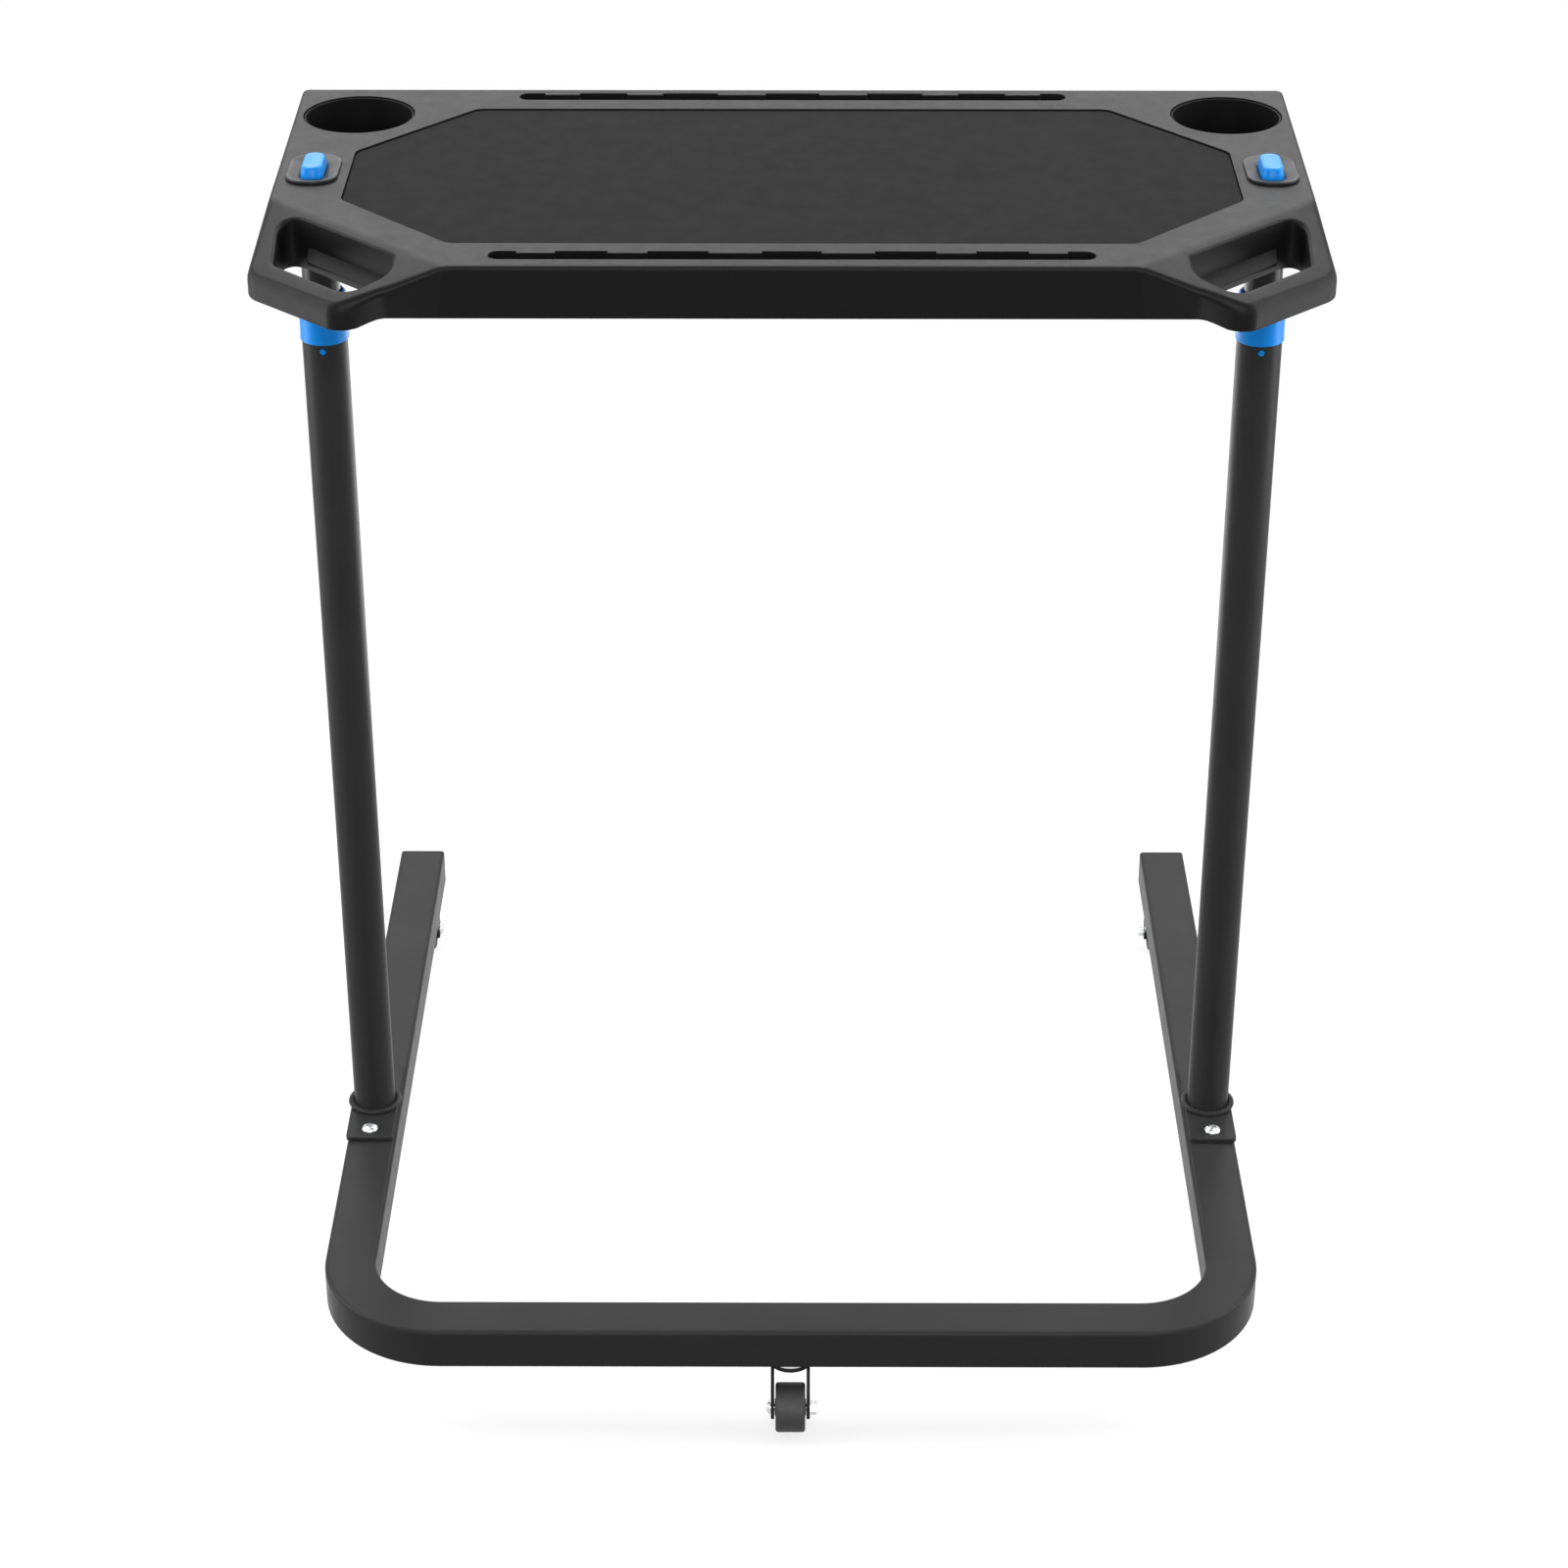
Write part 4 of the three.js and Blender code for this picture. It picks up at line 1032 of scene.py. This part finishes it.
@dataclass
class Post:
    """A telescopic post on its foot plate, in millimetres."""

    side: Side
    outer_radius: float = 17.7
    bore: float = 16.1
    foot: float = 98.6
    length: float = 752
    tube_edge: float = 0.5
    inner_radius: float = 14.5
    inner_bore: float = 12.7
    inner_bottom: float = 120.3
    inner_top: float = 916.7
    collar_radius: float = 19
    collar_bottom: float = 814
    collar_height: float = 39
    collar_sleeve: float = 52
    nub_drop: float = 5.5
    nub_radii: Pair = (2.6, 2.3)
    nub_length: float = 3
    nub_place: float = 16.4
    first_hole: float = 190.3
    hole_pitch: float = 25
    hole_radius: float = 5.0
    holes: int = 16
    cutter_length: float = 20
    cutter_place: float = 18
    bead_radii: Pair = (2.6, 2.3)
    bead_height: float = 1.3
    bead_ripples: tuple[Pair, ...] = ((36, 0.09), (5, 0.05))
    bead_fade: float = 3
    plate_width: float = 40
    plate_depth: float = 112
    plate_bottom: float = 94.3
    plate_thickness: float = 4
    plate_edge: float = 0.8
    bolt_spacing: float = 88
    bolt_radius: float = 4
    bolt_length: float = 17
    head_radius: float = 7
    head_height: float = 4.4
    head_shares: tuple[Pair, ...] = (
        (0, 0.3), (0.06, 0.2), (0.1, 0.2), (0.14, 0.16), (0.16, 0.1), (0.08, 0.04))
    socket_radius: float = 2.9
    socket_depth: float = 2.4

    def axis(self) -> Matrix:
        """The place of the post's axis."""
        return at(self.side.value * POST_HALF)

    def add(self, work: Workpiece, name: str, finish: Palette, body: str, *nodes: str) -> None:
        """Finishes a piece about the post's axis, as Workpiece.finish says."""
        work.finish(name, finish, body, *nodes, mark=self.side, place=self.axis())

    def outer_tube(self) -> None:
        """Builds the lower tube with its row of height holes at the back and one hole under the collar."""
        top, radius = self.foot + self.length, self.outer_radius
        work = Workpiece()
        work.turn([(self.bore, self.foot), (radius, self.foot), (radius, top - self.tube_edge),
                   (radius - self.tube_edge, top), (self.bore, top)], closed=True, segments=96)
        tube = work.finish("lower_tube", Palette.POWDER_COAT, "base", "outer_tube", mark=self.side,
                           place=Matrix(), smooth=30)
        drill = Workpiece()
        y = self.cutter_place
        holes = [(self.hole_radius, y, self.first_hole + i * self.hole_pitch) for i in range(self.holes)]
        holes.append((self.nub_radii[0] + GAP, -y, self.collar_bottom - self.nub_drop))
        for hole, y, height in holes:
            drill.rod(hole, self.cutter_length, lying(0, y, height, math.pi / 2, "X"))
        drilled(tube, drill)
        tube.data.transform(self.axis())
        radial_shading(tube, self.axis().translation, radius * MM)

    def weld(self) -> None:
        """Builds the weld bead round the tube's foot, with its ripples."""
        wide, high = self.bead_radii
        middle = self.foot + self.bead_height
        ring = [(self.outer_radius + wide + wide * math.cos(a), middle + high * math.sin(a))
                for a in (2 * math.pi * i / 12 for i in range(12))]
        work = Workpiece()
        work.turn([(max(r, self.outer_radius + 0.05), max(z, self.foot)) for r, z in ring], closed=True,
                  segments=144)
        for vert in work.bm.verts:
            angle = math.atan2(vert.co.y, vert.co.x)
            out = math.hypot(vert.co.x, vert.co.y) - self.outer_radius * MM
            (fine, fine_height), (slow, slow_height) = self.bead_ripples
            ripple = fine_height * math.cos(fine * angle) + slow_height * math.sin(slow * angle)
            ripple = 1 + ripple * min(out / (self.bead_fade * MM), 1)
            vert.co.z = self.foot * MM + (vert.co.z - self.foot * MM) * ripple
        self.add(work, "weld_bead", Palette.POWDER_COAT, "base")

    def collar(self) -> None:
        """Builds the collar with the nub that holds it in the tube."""
        low, top = self.collar_bottom, self.collar_bottom + self.collar_height
        around, wall, inner = self.outer_radius + GAP, self.bore - GAP, self.inner_radius + GAP
        seat, sleeve = self.foot + self.length + GAP, top - self.collar_sleeve
        work = Workpiece()
        outer = self.collar_radius
        work.turn([(inner, sleeve), (wall, sleeve), (wall, seat), (around, seat), (around, low),
                   (outer - 0.5, low), (outer, low + 0.5), (outer, low + 2.4), (outer - 0.25, low + 2.8),
                   (outer - 0.25, top - 4), (outer - 0.7, top - 1.6), (outer - 1.8, top - 0.3),
                   (outer - 3, top), (inner + 0.8, top), (inner, top - 0.8)], closed=True, segments=96)
        root, tip = self.nub_radii
        nub = lying(0, -self.nub_place, low - self.nub_drop, math.pi / 2, "X")
        work.rod(root, self.nub_length, nub, tip, 24)
        self.add(work, "collar_ring", Palette.BLUE, "base", "collar")

    def inner_tube(self) -> None:
        """Builds the upper tube, which slides in the lower one."""
        work = Workpiece()
        inner, outer, low, high = self.inner_bore, self.inner_radius, self.inner_bottom, self.inner_top
        work.turn([(inner, low), (outer, low), (outer, high), (inner, high)], closed=True, segments=96)
        self.add(work, "upper_tube", Palette.INNER_STEEL, "tray", "inner_tube")

    def foot_plate(self) -> None:
        """Builds the plate under the post."""
        work = Workpiece()
        work.slab(box_corners(self.plate_width, self.plate_depth, 5), self.plate_bottom,
                  [(0, self.plate_thickness - self.plate_edge), *edge_steps(self.plate_edge, 3)], 8)
        self.add(work, "post_plate", Palette.POWDER_COAT, "base", "foot_plate")

    def bolts(self) -> None:
        """Builds the button-head bolts through the plate, before and behind the post."""
        seat = self.plate_bottom + self.plate_thickness + GAP
        for end, way in (("front", -1), ("rear", 1)):
            work = Workpiece()
            head = work.disc(self.head_radius, 0, segments=48)
            work.open(work.step(head, [(self.head_radius * inset, self.head_height * rise)
                                       for inset, rise in self.head_shares]))
            work.push(work.disc(self.socket_radius, self.head_height, segments=6), -self.socket_depth)
            work.fill(self.head_height)
            work.push(work.disc(self.bolt_radius, 0, segments=48), -self.bolt_length)
            work.fill(0)
            shift = Matrix.Translation((0, way * self.bolt_spacing / 2 * MM, seat * MM))
            work.finish("plate_bolt", Palette.ZINC, "base", "foot_bolt", mark=f"{self.side}_{end}",
                        place=self.axis() @ shift)

    def build(self) -> None:
        """Builds the post."""
        self.outer_tube()
        self.weld()
        self.collar()
        self.inner_tube()
        self.foot_plate()
        self.bolts()


# Base
@dataclass
class Base:
    """The bent tube of the base and its end caps, in millimetres.

    The middle is the height of the bar's middle, and the leg is how far out a leg's middle lies.
    """

    half_width: float = 382
    near: float = 320
    far: float = 439
    bar_width: float = 42
    bar_height: float = 36
    bar_wall: float = 2.5
    bend_radius: float = 100
    edge_radius: float = 3.6
    bottom: float = 58
    cap_thickness: float = 3
    cap_corner: float = 3.4
    cap_edge: float = 1.0
    cap_crown: tuple[Pair, ...] = ((0.86, 0.14), (0.6, 0.06))
    ribs: tuple[Pair, ...] = ((-13.4, 1.6), (0, 2), (13.4, 1.6))
    rib_height: float = 28
    rib_length: float = 18
    plug: Triple = (36.4, 30.4, 2.4)
    plug_steps: tuple[Pair, ...] = ((0, -16), (1.2, -1.4))

    def __post_init__(self) -> None:
        """Works out where the legs lie."""
        self.leg, self.middle = self.half_width - self.bar_width / 2, self.bottom + self.bar_height / 2

    def tube(self) -> None:
        """Builds the tube: its section is drawn along the left leg, round the front and along the right."""
        bend_x, bend_y = self.half_width - self.bend_radius, self.bend_radius - self.near
        end = self.far - self.cap_thickness - GAP
        work = Workpiece()
        section = work.outline(box_corners(self.bar_width, self.bar_height, self.edge_radius), 0, 5)
        edges = list(section.edges)
        work.place(lying(-self.leg, end, self.middle, math.pi / 2, "X"))
        work.open(section)
        edges = work.draw(edges, 0, bend_y - end)
        edges = work.bend(edges, -bend_x, bend_y)
        edges = work.draw(edges, 2 * bend_x, 0)
        edges = work.bend(edges, bend_x, bend_y)
        work.draw(edges, 0, end - bend_y)
        bmesh.ops.recalc_face_normals(work.bm, faces=work.bm.faces)
        bmesh.ops.solidify(work.bm, geom=[*work.bm.verts, *work.bm.edges, *work.bm.faces],
                           thickness=self.bar_wall * MM)
        work.finish("base_tube", Palette.POWDER_COAT, "base", "base_frame")

    def end_caps(self) -> None:
        """Builds the cap in the rear end of each leg: a plate with rounded edges, and a ribbed plug."""
        lay = Matrix.Rotation(-math.pi / 2, 4, "X")
        for side in Side:
            work = Workpiece()
            plate = work.outline(box_corners(self.bar_width, self.bar_height, self.cap_corner), 0, 6)
            foot = list(plate.verts)
            straight = self.cap_thickness - self.cap_edge - sum(rise for _, rise in self.cap_crown)
            plate = work.step(plate, [(0, straight), *edge_steps(self.cap_edge)])
            work.taper(plate, self.cap_crown)
            work.close(reversed(foot))
            for shift, width in self.ribs:
                work.slab(box_corners(width, self.rib_height, 0.5, shift), 0, [(0, -self.rib_length)], 2)
            work.slab(box_corners(*self.plug), 0, self.plug_steps, 4)
            place = at(side.value * self.leg, self.far - self.cap_thickness, self.middle) @ lay
            work.finish("leg_cap", Palette.BLACK_PLASTIC, "base", "end_cap", mark=side, place=place)

    def build(self) -> None:
        """Builds the base."""
        self.tube()
        self.end_caps()


# Casters
@dataclass
class Caster:
    """A swivel caster, in millimetres, built about its swivel axis with its wheel trailing behind it."""

    station: Station
    trail: float = 22
    wheel_radius: float = 20
    wheel_width: float = 24
    tyre_thickness: float = 5.5
    shoulder: float = 2.4
    pin_radius: float = 4
    pin_bottom: float = 45.4
    raceway: Pair = (54.1, 57.7)
    raceway_radius: float = 17
    stem_radius: float = 5
    stem_top: float = 70.7
    fork_inner: float = 13
    crown: Pair = (50.8, 53.8)
    crown_radius: float = 18
    cheek_top: Pair = (-10.8, 16.2)
    cheek: float = 2.8
    cheek_edge: float = 0.7
    eye: float = 8.0
    bolt_radius: float = 3
    bolt_head: float = 5.5
    boss_radius: float = 7
    web_half: float = 6
    hub_rim: float = 12.2
    spokes: int = 6
    spoke: Triple = (5.6, 1.4, 4.6)
    spoke_place: Pair = (9.6, 8.1)
    nut_radius: float = 6
    nut_height: float = 5

    def stand(self) -> Matrix:
        """The way from the swivel axis at the origin to the caster's station."""
        x, y, way = self.station.value
        return at(x, y) @ Matrix.Rotation(0 if way > 0 else math.pi, 4, "Z")

    def add(self, work: Workpiece, name: str, finish: Palette, body: str, node: str) -> None:
        """Finishes a piece at the caster's station, as Workpiece.finish says."""
        work.finish(name, finish, body, node, mark=self.station, place=self.stand())

    def add_on_axle(self, work: Workpiece, name: str, finish: Palette, body: str, node: str) -> None:
        """Lays a turned piece on the axle and finishes it, as Workpiece.finish says."""
        work.place(lying(0, self.trail, self.wheel_radius, -math.pi / 2, "Y"))
        self.add(work, name, finish, f"{body}_{self.station}", node)

    def wheel_part(self, half: Sequence[Pair], segments: int) -> Workpiece:
        """A ring that is the same on both sides of the wheel.

        Args:
            half: Radius and distance from the wheel's middle of each point on one side.
            segments: Steps round the axle.

        Returns:
            The ring on the bench.
        """
        work = Workpiece()
        work.turn([*half, *[(r, -x) for r, x in reversed(half)]], closed=True, segments=segments)
        return work

    def head(self) -> None:
        """Builds the raceway with its kingpin and stem."""
        pin, foot, stem, end = self.pin_radius, self.pin_bottom, self.stem_radius, self.stem_top
        race, (low, top) = self.raceway_radius, self.raceway
        work = Workpiece()
        work.turn([(0, foot), (pin + 1.6, foot), (pin + 3, foot + 1), (pin + 3, foot + 2.2),
                   (pin, foot + 2.2), (pin, low), (race - 0.8, low), (race, low + 0.8), (race, top - 1.4),
                   (race - 0.6, top - 0.5), (race - 1.6, top), (stem, top), (stem, end - 0.5),
                   (stem - 0.6, end), (0, end)], segments=64)
        self.add(work, "raceway", Palette.ZINC, "base", "caster_head")

    def fork(self) -> None:
        """Builds the fork: a round crown and two cheeks down to the axle."""
        (under, top), (start, end) = self.crown, self.cheek_top
        level, low, middle = self.wheel_radius, self.wheel_radius - self.eye, (under + top) / 2
        near, far = self.trail - self.eye, self.trail + self.eye
        cheek = [(start, middle, 0), (near, level, 10), (near, low, self.eye), (far, low, self.eye),
                 (far, level, 12), (end, middle, 0)]
        hole, outer = self.pin_radius + GAP, self.crown_radius
        work = Workpiece()
        work.turn([(hole, under), (outer - 2, under), (outer, under + 0.8), (outer, top - 0.8),
                   (outer - 0.8, top), (hole, top)], closed=True, segments=64)
        for way in (-1, 1):
            known = set(work.bm.verts)
            work.slab(cheek, 0, [(0, self.cheek - self.cheek_edge), *edge_steps(self.cheek_edge, 3)], 8)
            shift = way * self.fork_inner * MM
            work.place(Matrix(((0, 0, way, shift), (1, 0, 0, 0), (0, 1, 0, 0), (0, 0, 0, 1))), known)
        self.add(work, "fork", Palette.POWDER_COAT, f"fork_{self.station}", "caster_fork")

    def tyre(self) -> None:
        """Builds the tyre with rounded shoulders and a parting line."""
        half, outer, bend = self.wheel_width / 2, self.wheel_radius, self.shoulder
        inner = outer - self.tyre_thickness
        arc = [(outer - bend + bend * math.sin(a), half - bend + bend * math.cos(a))
               for a in (math.pi / 2 * i / 6 for i in range(7))]
        line = [(outer, 0.5), (outer - 0.15, 0.2)]
        work = self.wheel_part([(inner, half), (inner + 0.6, half), *arc, *line], 80)
        self.add_on_axle(work, "tyre", Palette.TYRE, "wheel", "caster_tyre")

    def hub(self) -> None:
        """Builds the hub: a rim, a web with ribs and a boss round the axle."""
        half, bevel = self.wheel_width / 2, 0.4
        outer, boss_end = self.wheel_radius - self.tyre_thickness - GAP, self.fork_inner - GAP
        bore, boss, rim, web = self.bolt_radius + GAP, self.boss_radius, self.hub_rim, self.web_half
        work = self.wheel_part([
            (bore, boss_end), (boss - bevel, boss_end), (boss, boss_end - bevel), (boss, web), (rim, web),
            (rim, half - bevel), (rim + bevel, half), (outer - bevel, half), (outer, half - bevel)], 64)
        size = Matrix.Diagonal((*(length * MM for length in self.spoke), 1))
        out, beside = self.spoke_place
        for i in range(self.spokes):
            for way in (-1, 1):
                cube = bmesh.ops.create_cube(work.bm, size=1)["verts"]
                spoke = Matrix.Rotation(i * 2 * math.pi / self.spokes, 4, "Z")
                spoke = spoke @ Matrix.Translation((out * MM, 0, way * beside * MM))
                bmesh.ops.transform(work.bm, matrix=spoke @ size, verts=cube)
        self.add_on_axle(work, "hub", Palette.BLACK_PLASTIC, "wheel", "caster_hub")

    def axle(self) -> None:
        """Builds the axle bolt and its nut."""
        seat = self.fork_inner + self.cheek + GAP
        start, end, shank, head = -seat, seat + self.nut_height, self.bolt_radius, self.bolt_head
        bolt = Workpiece()
        bolt.turn([(0, start - 3), (shank, start - 2.9), (head - 0.9, start - 2.2), (head - 0.1, start - 1.1),
                   (head, start), (shank, start), (shank, end - 0.4), (shank - 0.4, end), (0, end)],
                  segments=48)
        self.add_on_axle(bolt, "axle", Palette.ZINC, "fork", "caster_bolt")
        nut = Workpiece()
        face = nut.disc(self.nut_radius, seat, segments=6)
        nut.open(nut.step(face, [(0, self.nut_height - 0.6), (0.5, 0.6)]))
        nut.open(nut.push(nut.disc(shank + GAP, end, segments=32), -self.nut_height))
        nut.fill(end)
        nut.fill(seat)
        self.add_on_axle(nut, "axle_nut", Palette.ZINC, "fork", "caster_nut")

    def build(self) -> None:
        """Builds the caster."""
        self.head()
        self.fork()
        self.tyre()
        self.hub()
        self.axle()


@dataclass
class InnerWorks:
    """A side's return spring, and the pieces in the post and under the tray that keep their own shape."""

    side: Side
    wire: float = 1.2
    turns: int = 5
    turn_steps: int = 32
    press: float = 5

    def spring(self) -> None:
        """Builds the return spring as one coil of fixed length in its part's box; the real spring shortens as
        its button goes down.
        """
        name = f"button_spring_{self.side}"
        low, high = (Vector(corner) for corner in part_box(name))
        half, steps = self.wire / 2 * MM, self.turn_steps * self.turns
        start = Matrix.Translation(((high.x - low.x) / 2 - half, 0, 0)) @ Matrix.Rotation(math.pi / 2, 4, "X")
        angle, climb = 2 * math.pi * self.turns, (0, 0, (high.z - low.z - 2 * half) / steps)
        work = Workpiece()
        made = bmesh.ops.create_circle(work.bm, cap_ends=True, radius=half, segments=12, matrix=start)
        ring = made["verts"] + list(made["verts"][0].link_faces[0].edges)
        made = bmesh.ops.spin(work.bm, geom=ring, cent=(0, 0, 0), axis=(0, 0, 1), angle=angle, steps=steps,
                              dvec=climb)["geom_last"]
        bmesh.ops.contextual_create(work.bm, geom=[edge for edge in made if isinstance(edge, BMEdge)])
        middle = Matrix.Translation(((high.x + low.x) / 2, (high.y + low.y) / 2, low.z + half))
        coil = work.finish("return_spring", Palette.ZINC, "tray", "button_spring", mark=self.side,
                           place=middle)
        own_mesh(coil)

    def build(self) -> None:
        """Builds the spring and gives the other pieces their finish."""
        Palette.POWDER_COAT.repaint(f"tray_bracket_{self.side}")
        Palette.BLACK_PLASTIC.repaint(f"glide_{self.side}")
        self.spring()
        for name in (f"push_rod_{self.side}", f"lock_pin_{self.side}", f"bracket_screw_{self.side}_front",
                     f"bracket_screw_{self.side}_rear"):
            Palette.ZINC.repaint(name)
        log.info("inner works on the %s dressed", self.side)


# Studio
@dataclass(frozen=True)
class Lamp:
    """A soft rectangular lamp: where it hangs and points, its width and height in metres and its watts."""

    name: str
    place: Triple
    target: Triple
    size: Pair
    power: float

    def on(self, side: Side) -> "Lamp":
        """The lamp on a side, from the one on the right."""
        place, target = ((side.value * x, y, z) for x, y, z in (self.place, self.target))
        return replace(self, name=f"{side}_{self.name}", place=place, target=target)

    def hang(self, only: Sequence[bpy.types.Object] = ()) -> None:
        """Hangs the lamp.

        Args:
            only: The pieces that it lights, where it isn't meant for all.
        """
        data = bpy.data.lights.new(self.name, "AREA")
        data.shape, data.energy = "RECTANGLE", self.power
        data.size, data.size_y = self.size
        lamp = show(self.name, data)
        lamp.location = self.place
        lamp.rotation_euler = (Vector(self.target) - Vector(self.place)).to_track_quat("-Z", "Y").to_euler()
        lamp.visible_camera = False
        if only:
            lit = bpy.data.collections.new(f"{self.name}_lights")
            for piece in only:
                lit.objects.link(piece)
            lamp.light_linking.receiver_collection = lit


@dataclass
class Studio:
    """The pale floor, the soft light and the camera at the photograph's angle."""

    camera_place: Triple = (0.003, -2.695, 1.904)
    pitch: float = 29.35
    turn: float = -0.2
    lens: float = 83.96
    floor_tone: float = 0.92
    floor_bounce: float = 0.12
    shadow_lift: float = 0.68
    shadow_reach: float = 0.55
    white_from: float = 1.5
    world_level: float = 0.1
    lamps: tuple[Lamp, ...] = (
        Lamp("key", (0, -4.1, 2.6), (0, 0, 0.6), (2.4, 1.8), 145),
        Lamp("top", (0, 0.3, 3.2), (0, 0, 0.5), (2.4, 1.6), 14),
        Lamp("back", (0, 3.2, 2.15), (0, 0, 0.95), (3.0, 1.0), 25))
    side_lamps: tuple[Lamp, ...] = (
        Lamp("shoulder", (1.15, 1.6, 3.2), (0.35, -0.2, 0.93), (1.2, 1.0), 42),
        Lamp("high", (1.9, 0.1, 2.3), (0.35, -0.15, 0.93), (1.0, 1.2), 24),
        Lamp("bend", (0.9, 3.2, 2.85), (0.33, -0.33, 0.1), (0.6, 0.5), 8),
        Lamp("panel", (1.7, -0.1, 0.8), (0, 0, 0.7), (1.0, 1.5), 26))
    edge_lamp: Lamp = Lamp("edge", (-0.3, 0.57, 0.5), (0.363, -0.049, 0.5), (0.85, 1.1), 11)

    def seen_share(self, nodes: Nodes) -> Socket:
        """1 for the camera's, glossy and transmission rays, which show the pale background, and 0 for others.

        Args:
            nodes: The node tree that it is made in.

        Returns:
            The share socket.
        """
        path = nodes.add("LightPath")
        total = path.outputs["Is Camera Ray"]
        for kind in ("Is Glossy Ray", "Is Transmission Ray"):
            either = nodes.add("Math", total, path.outputs[kind])
            either.operation, either.use_clamp = "ADD", True
            total = either.outputs[0]
        return total

    def floor(self) -> None:
        """Lays a wide pale floor that shows white to the camera and keeps the desk's shadow."""
        work = bmesh.new()
        bmesh.ops.create_grid(work, x_segments=1, y_segments=1, size=30)
        mesh = bpy.data.meshes.new("floor")
        work.to_mesh(mesh)
        work.free()
        nodes = FinishNodes("studio_floor")
        seen = self.seen_share(nodes)
        tones = nodes.blend(seen, (self.floor_bounce,) * 3, (self.floor_tone,) * 3)
        nodes.join(nodes.shader, Base_Color=tones, Roughness=0.9, Specular_IOR_Level=0.0)
        length = nodes.add("VectorMath", nodes.place)
        length.operation = "LENGTH"
        far = nodes.add("MapRange", Value=length.outputs["Value"], From_Min=self.shadow_reach,
                        From_Max=self.white_from, To_Min=self.shadow_lift)
        share = nodes.add("Math", far.outputs["Result"], seen)
        share.operation = "MULTIPLY"
        white = nodes.add("Emission", Strength=1.0)
        mix = nodes.add("MixShader", *(source.outputs[0] for source in (share, nodes.shader, white)))
        nodes.join(nodes.output, mix.outputs[0])
        mesh.materials.append(nodes.material)
        show("floor", mesh)

    def world(self) -> None:
        """Gives the room its white background and, for the light that it sheds, a low level."""
        world = bpy.data.worlds.new("studio")
        world.use_nodes = True
        nodes = Nodes(world.node_tree)
        level = nodes.add("MapRange", Value=self.seen_share(nodes), To_Min=self.world_level)
        white = nodes.add("Background", Color=(1, 1, 1, 1), Strength=level.outputs["Result"])
        nodes.add("OutputWorld", white.outputs["Background"])
        bpy.context.scene.world = world

    def camera(self) -> None:
        """Sets the camera."""
        data = bpy.data.cameras.new("camera")
        data.sensor_width, data.lens = 36.0, self.lens
        data.clip_start, data.clip_end = 0.1, 100.0
        camera = show("camera", data)
        camera.location = self.camera_place
        camera.rotation_euler = (math.radians(90 - self.pitch), 0, math.radians(-self.turn))
        bpy.context.scene.camera = camera

    def build(self) -> None:
        """Builds the studio."""
        self.floor()
        self.world()
        for lamp in (*self.lamps, *(lamp.on(side) for side in Side for lamp in self.side_lamps)):
            lamp.hang()
        self.camera()
        bpy.context.scene.view_settings.view_transform = "Standard"

    def light_edge(self, side: Side) -> None:
        """Draws a bright edge down the inner side of a finished post.

        Args:
            side: The post's side.
        """
        names = ("lower_tube", "weld_bead", "collar_ring", "upper_tube")
        self.edge_lamp.on(side).hang([bpy.data.objects[f"{name}_{side}"] for name in names])


def main() -> None:
    """Builds the desk in order."""
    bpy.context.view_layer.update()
    studio = Studio()
    studio.build()
    mat = Mat()
    Tray(mat.corners(mat.play)).build()
    mat.build()
    for side in Side:
        CupWell(side).build()
        button = Button(side)
        button.cap()
        button.surround()
        Post(side).build()
        studio.light_edge(side)
    Base().build()
    for station in Station:
        Caster(station).build()
    for side in Side:
        InnerWorks(side).build()


if __name__ == "__main__":
    logging.basicConfig(level=logging.INFO, format="%(name)s %(message)s")
    main()
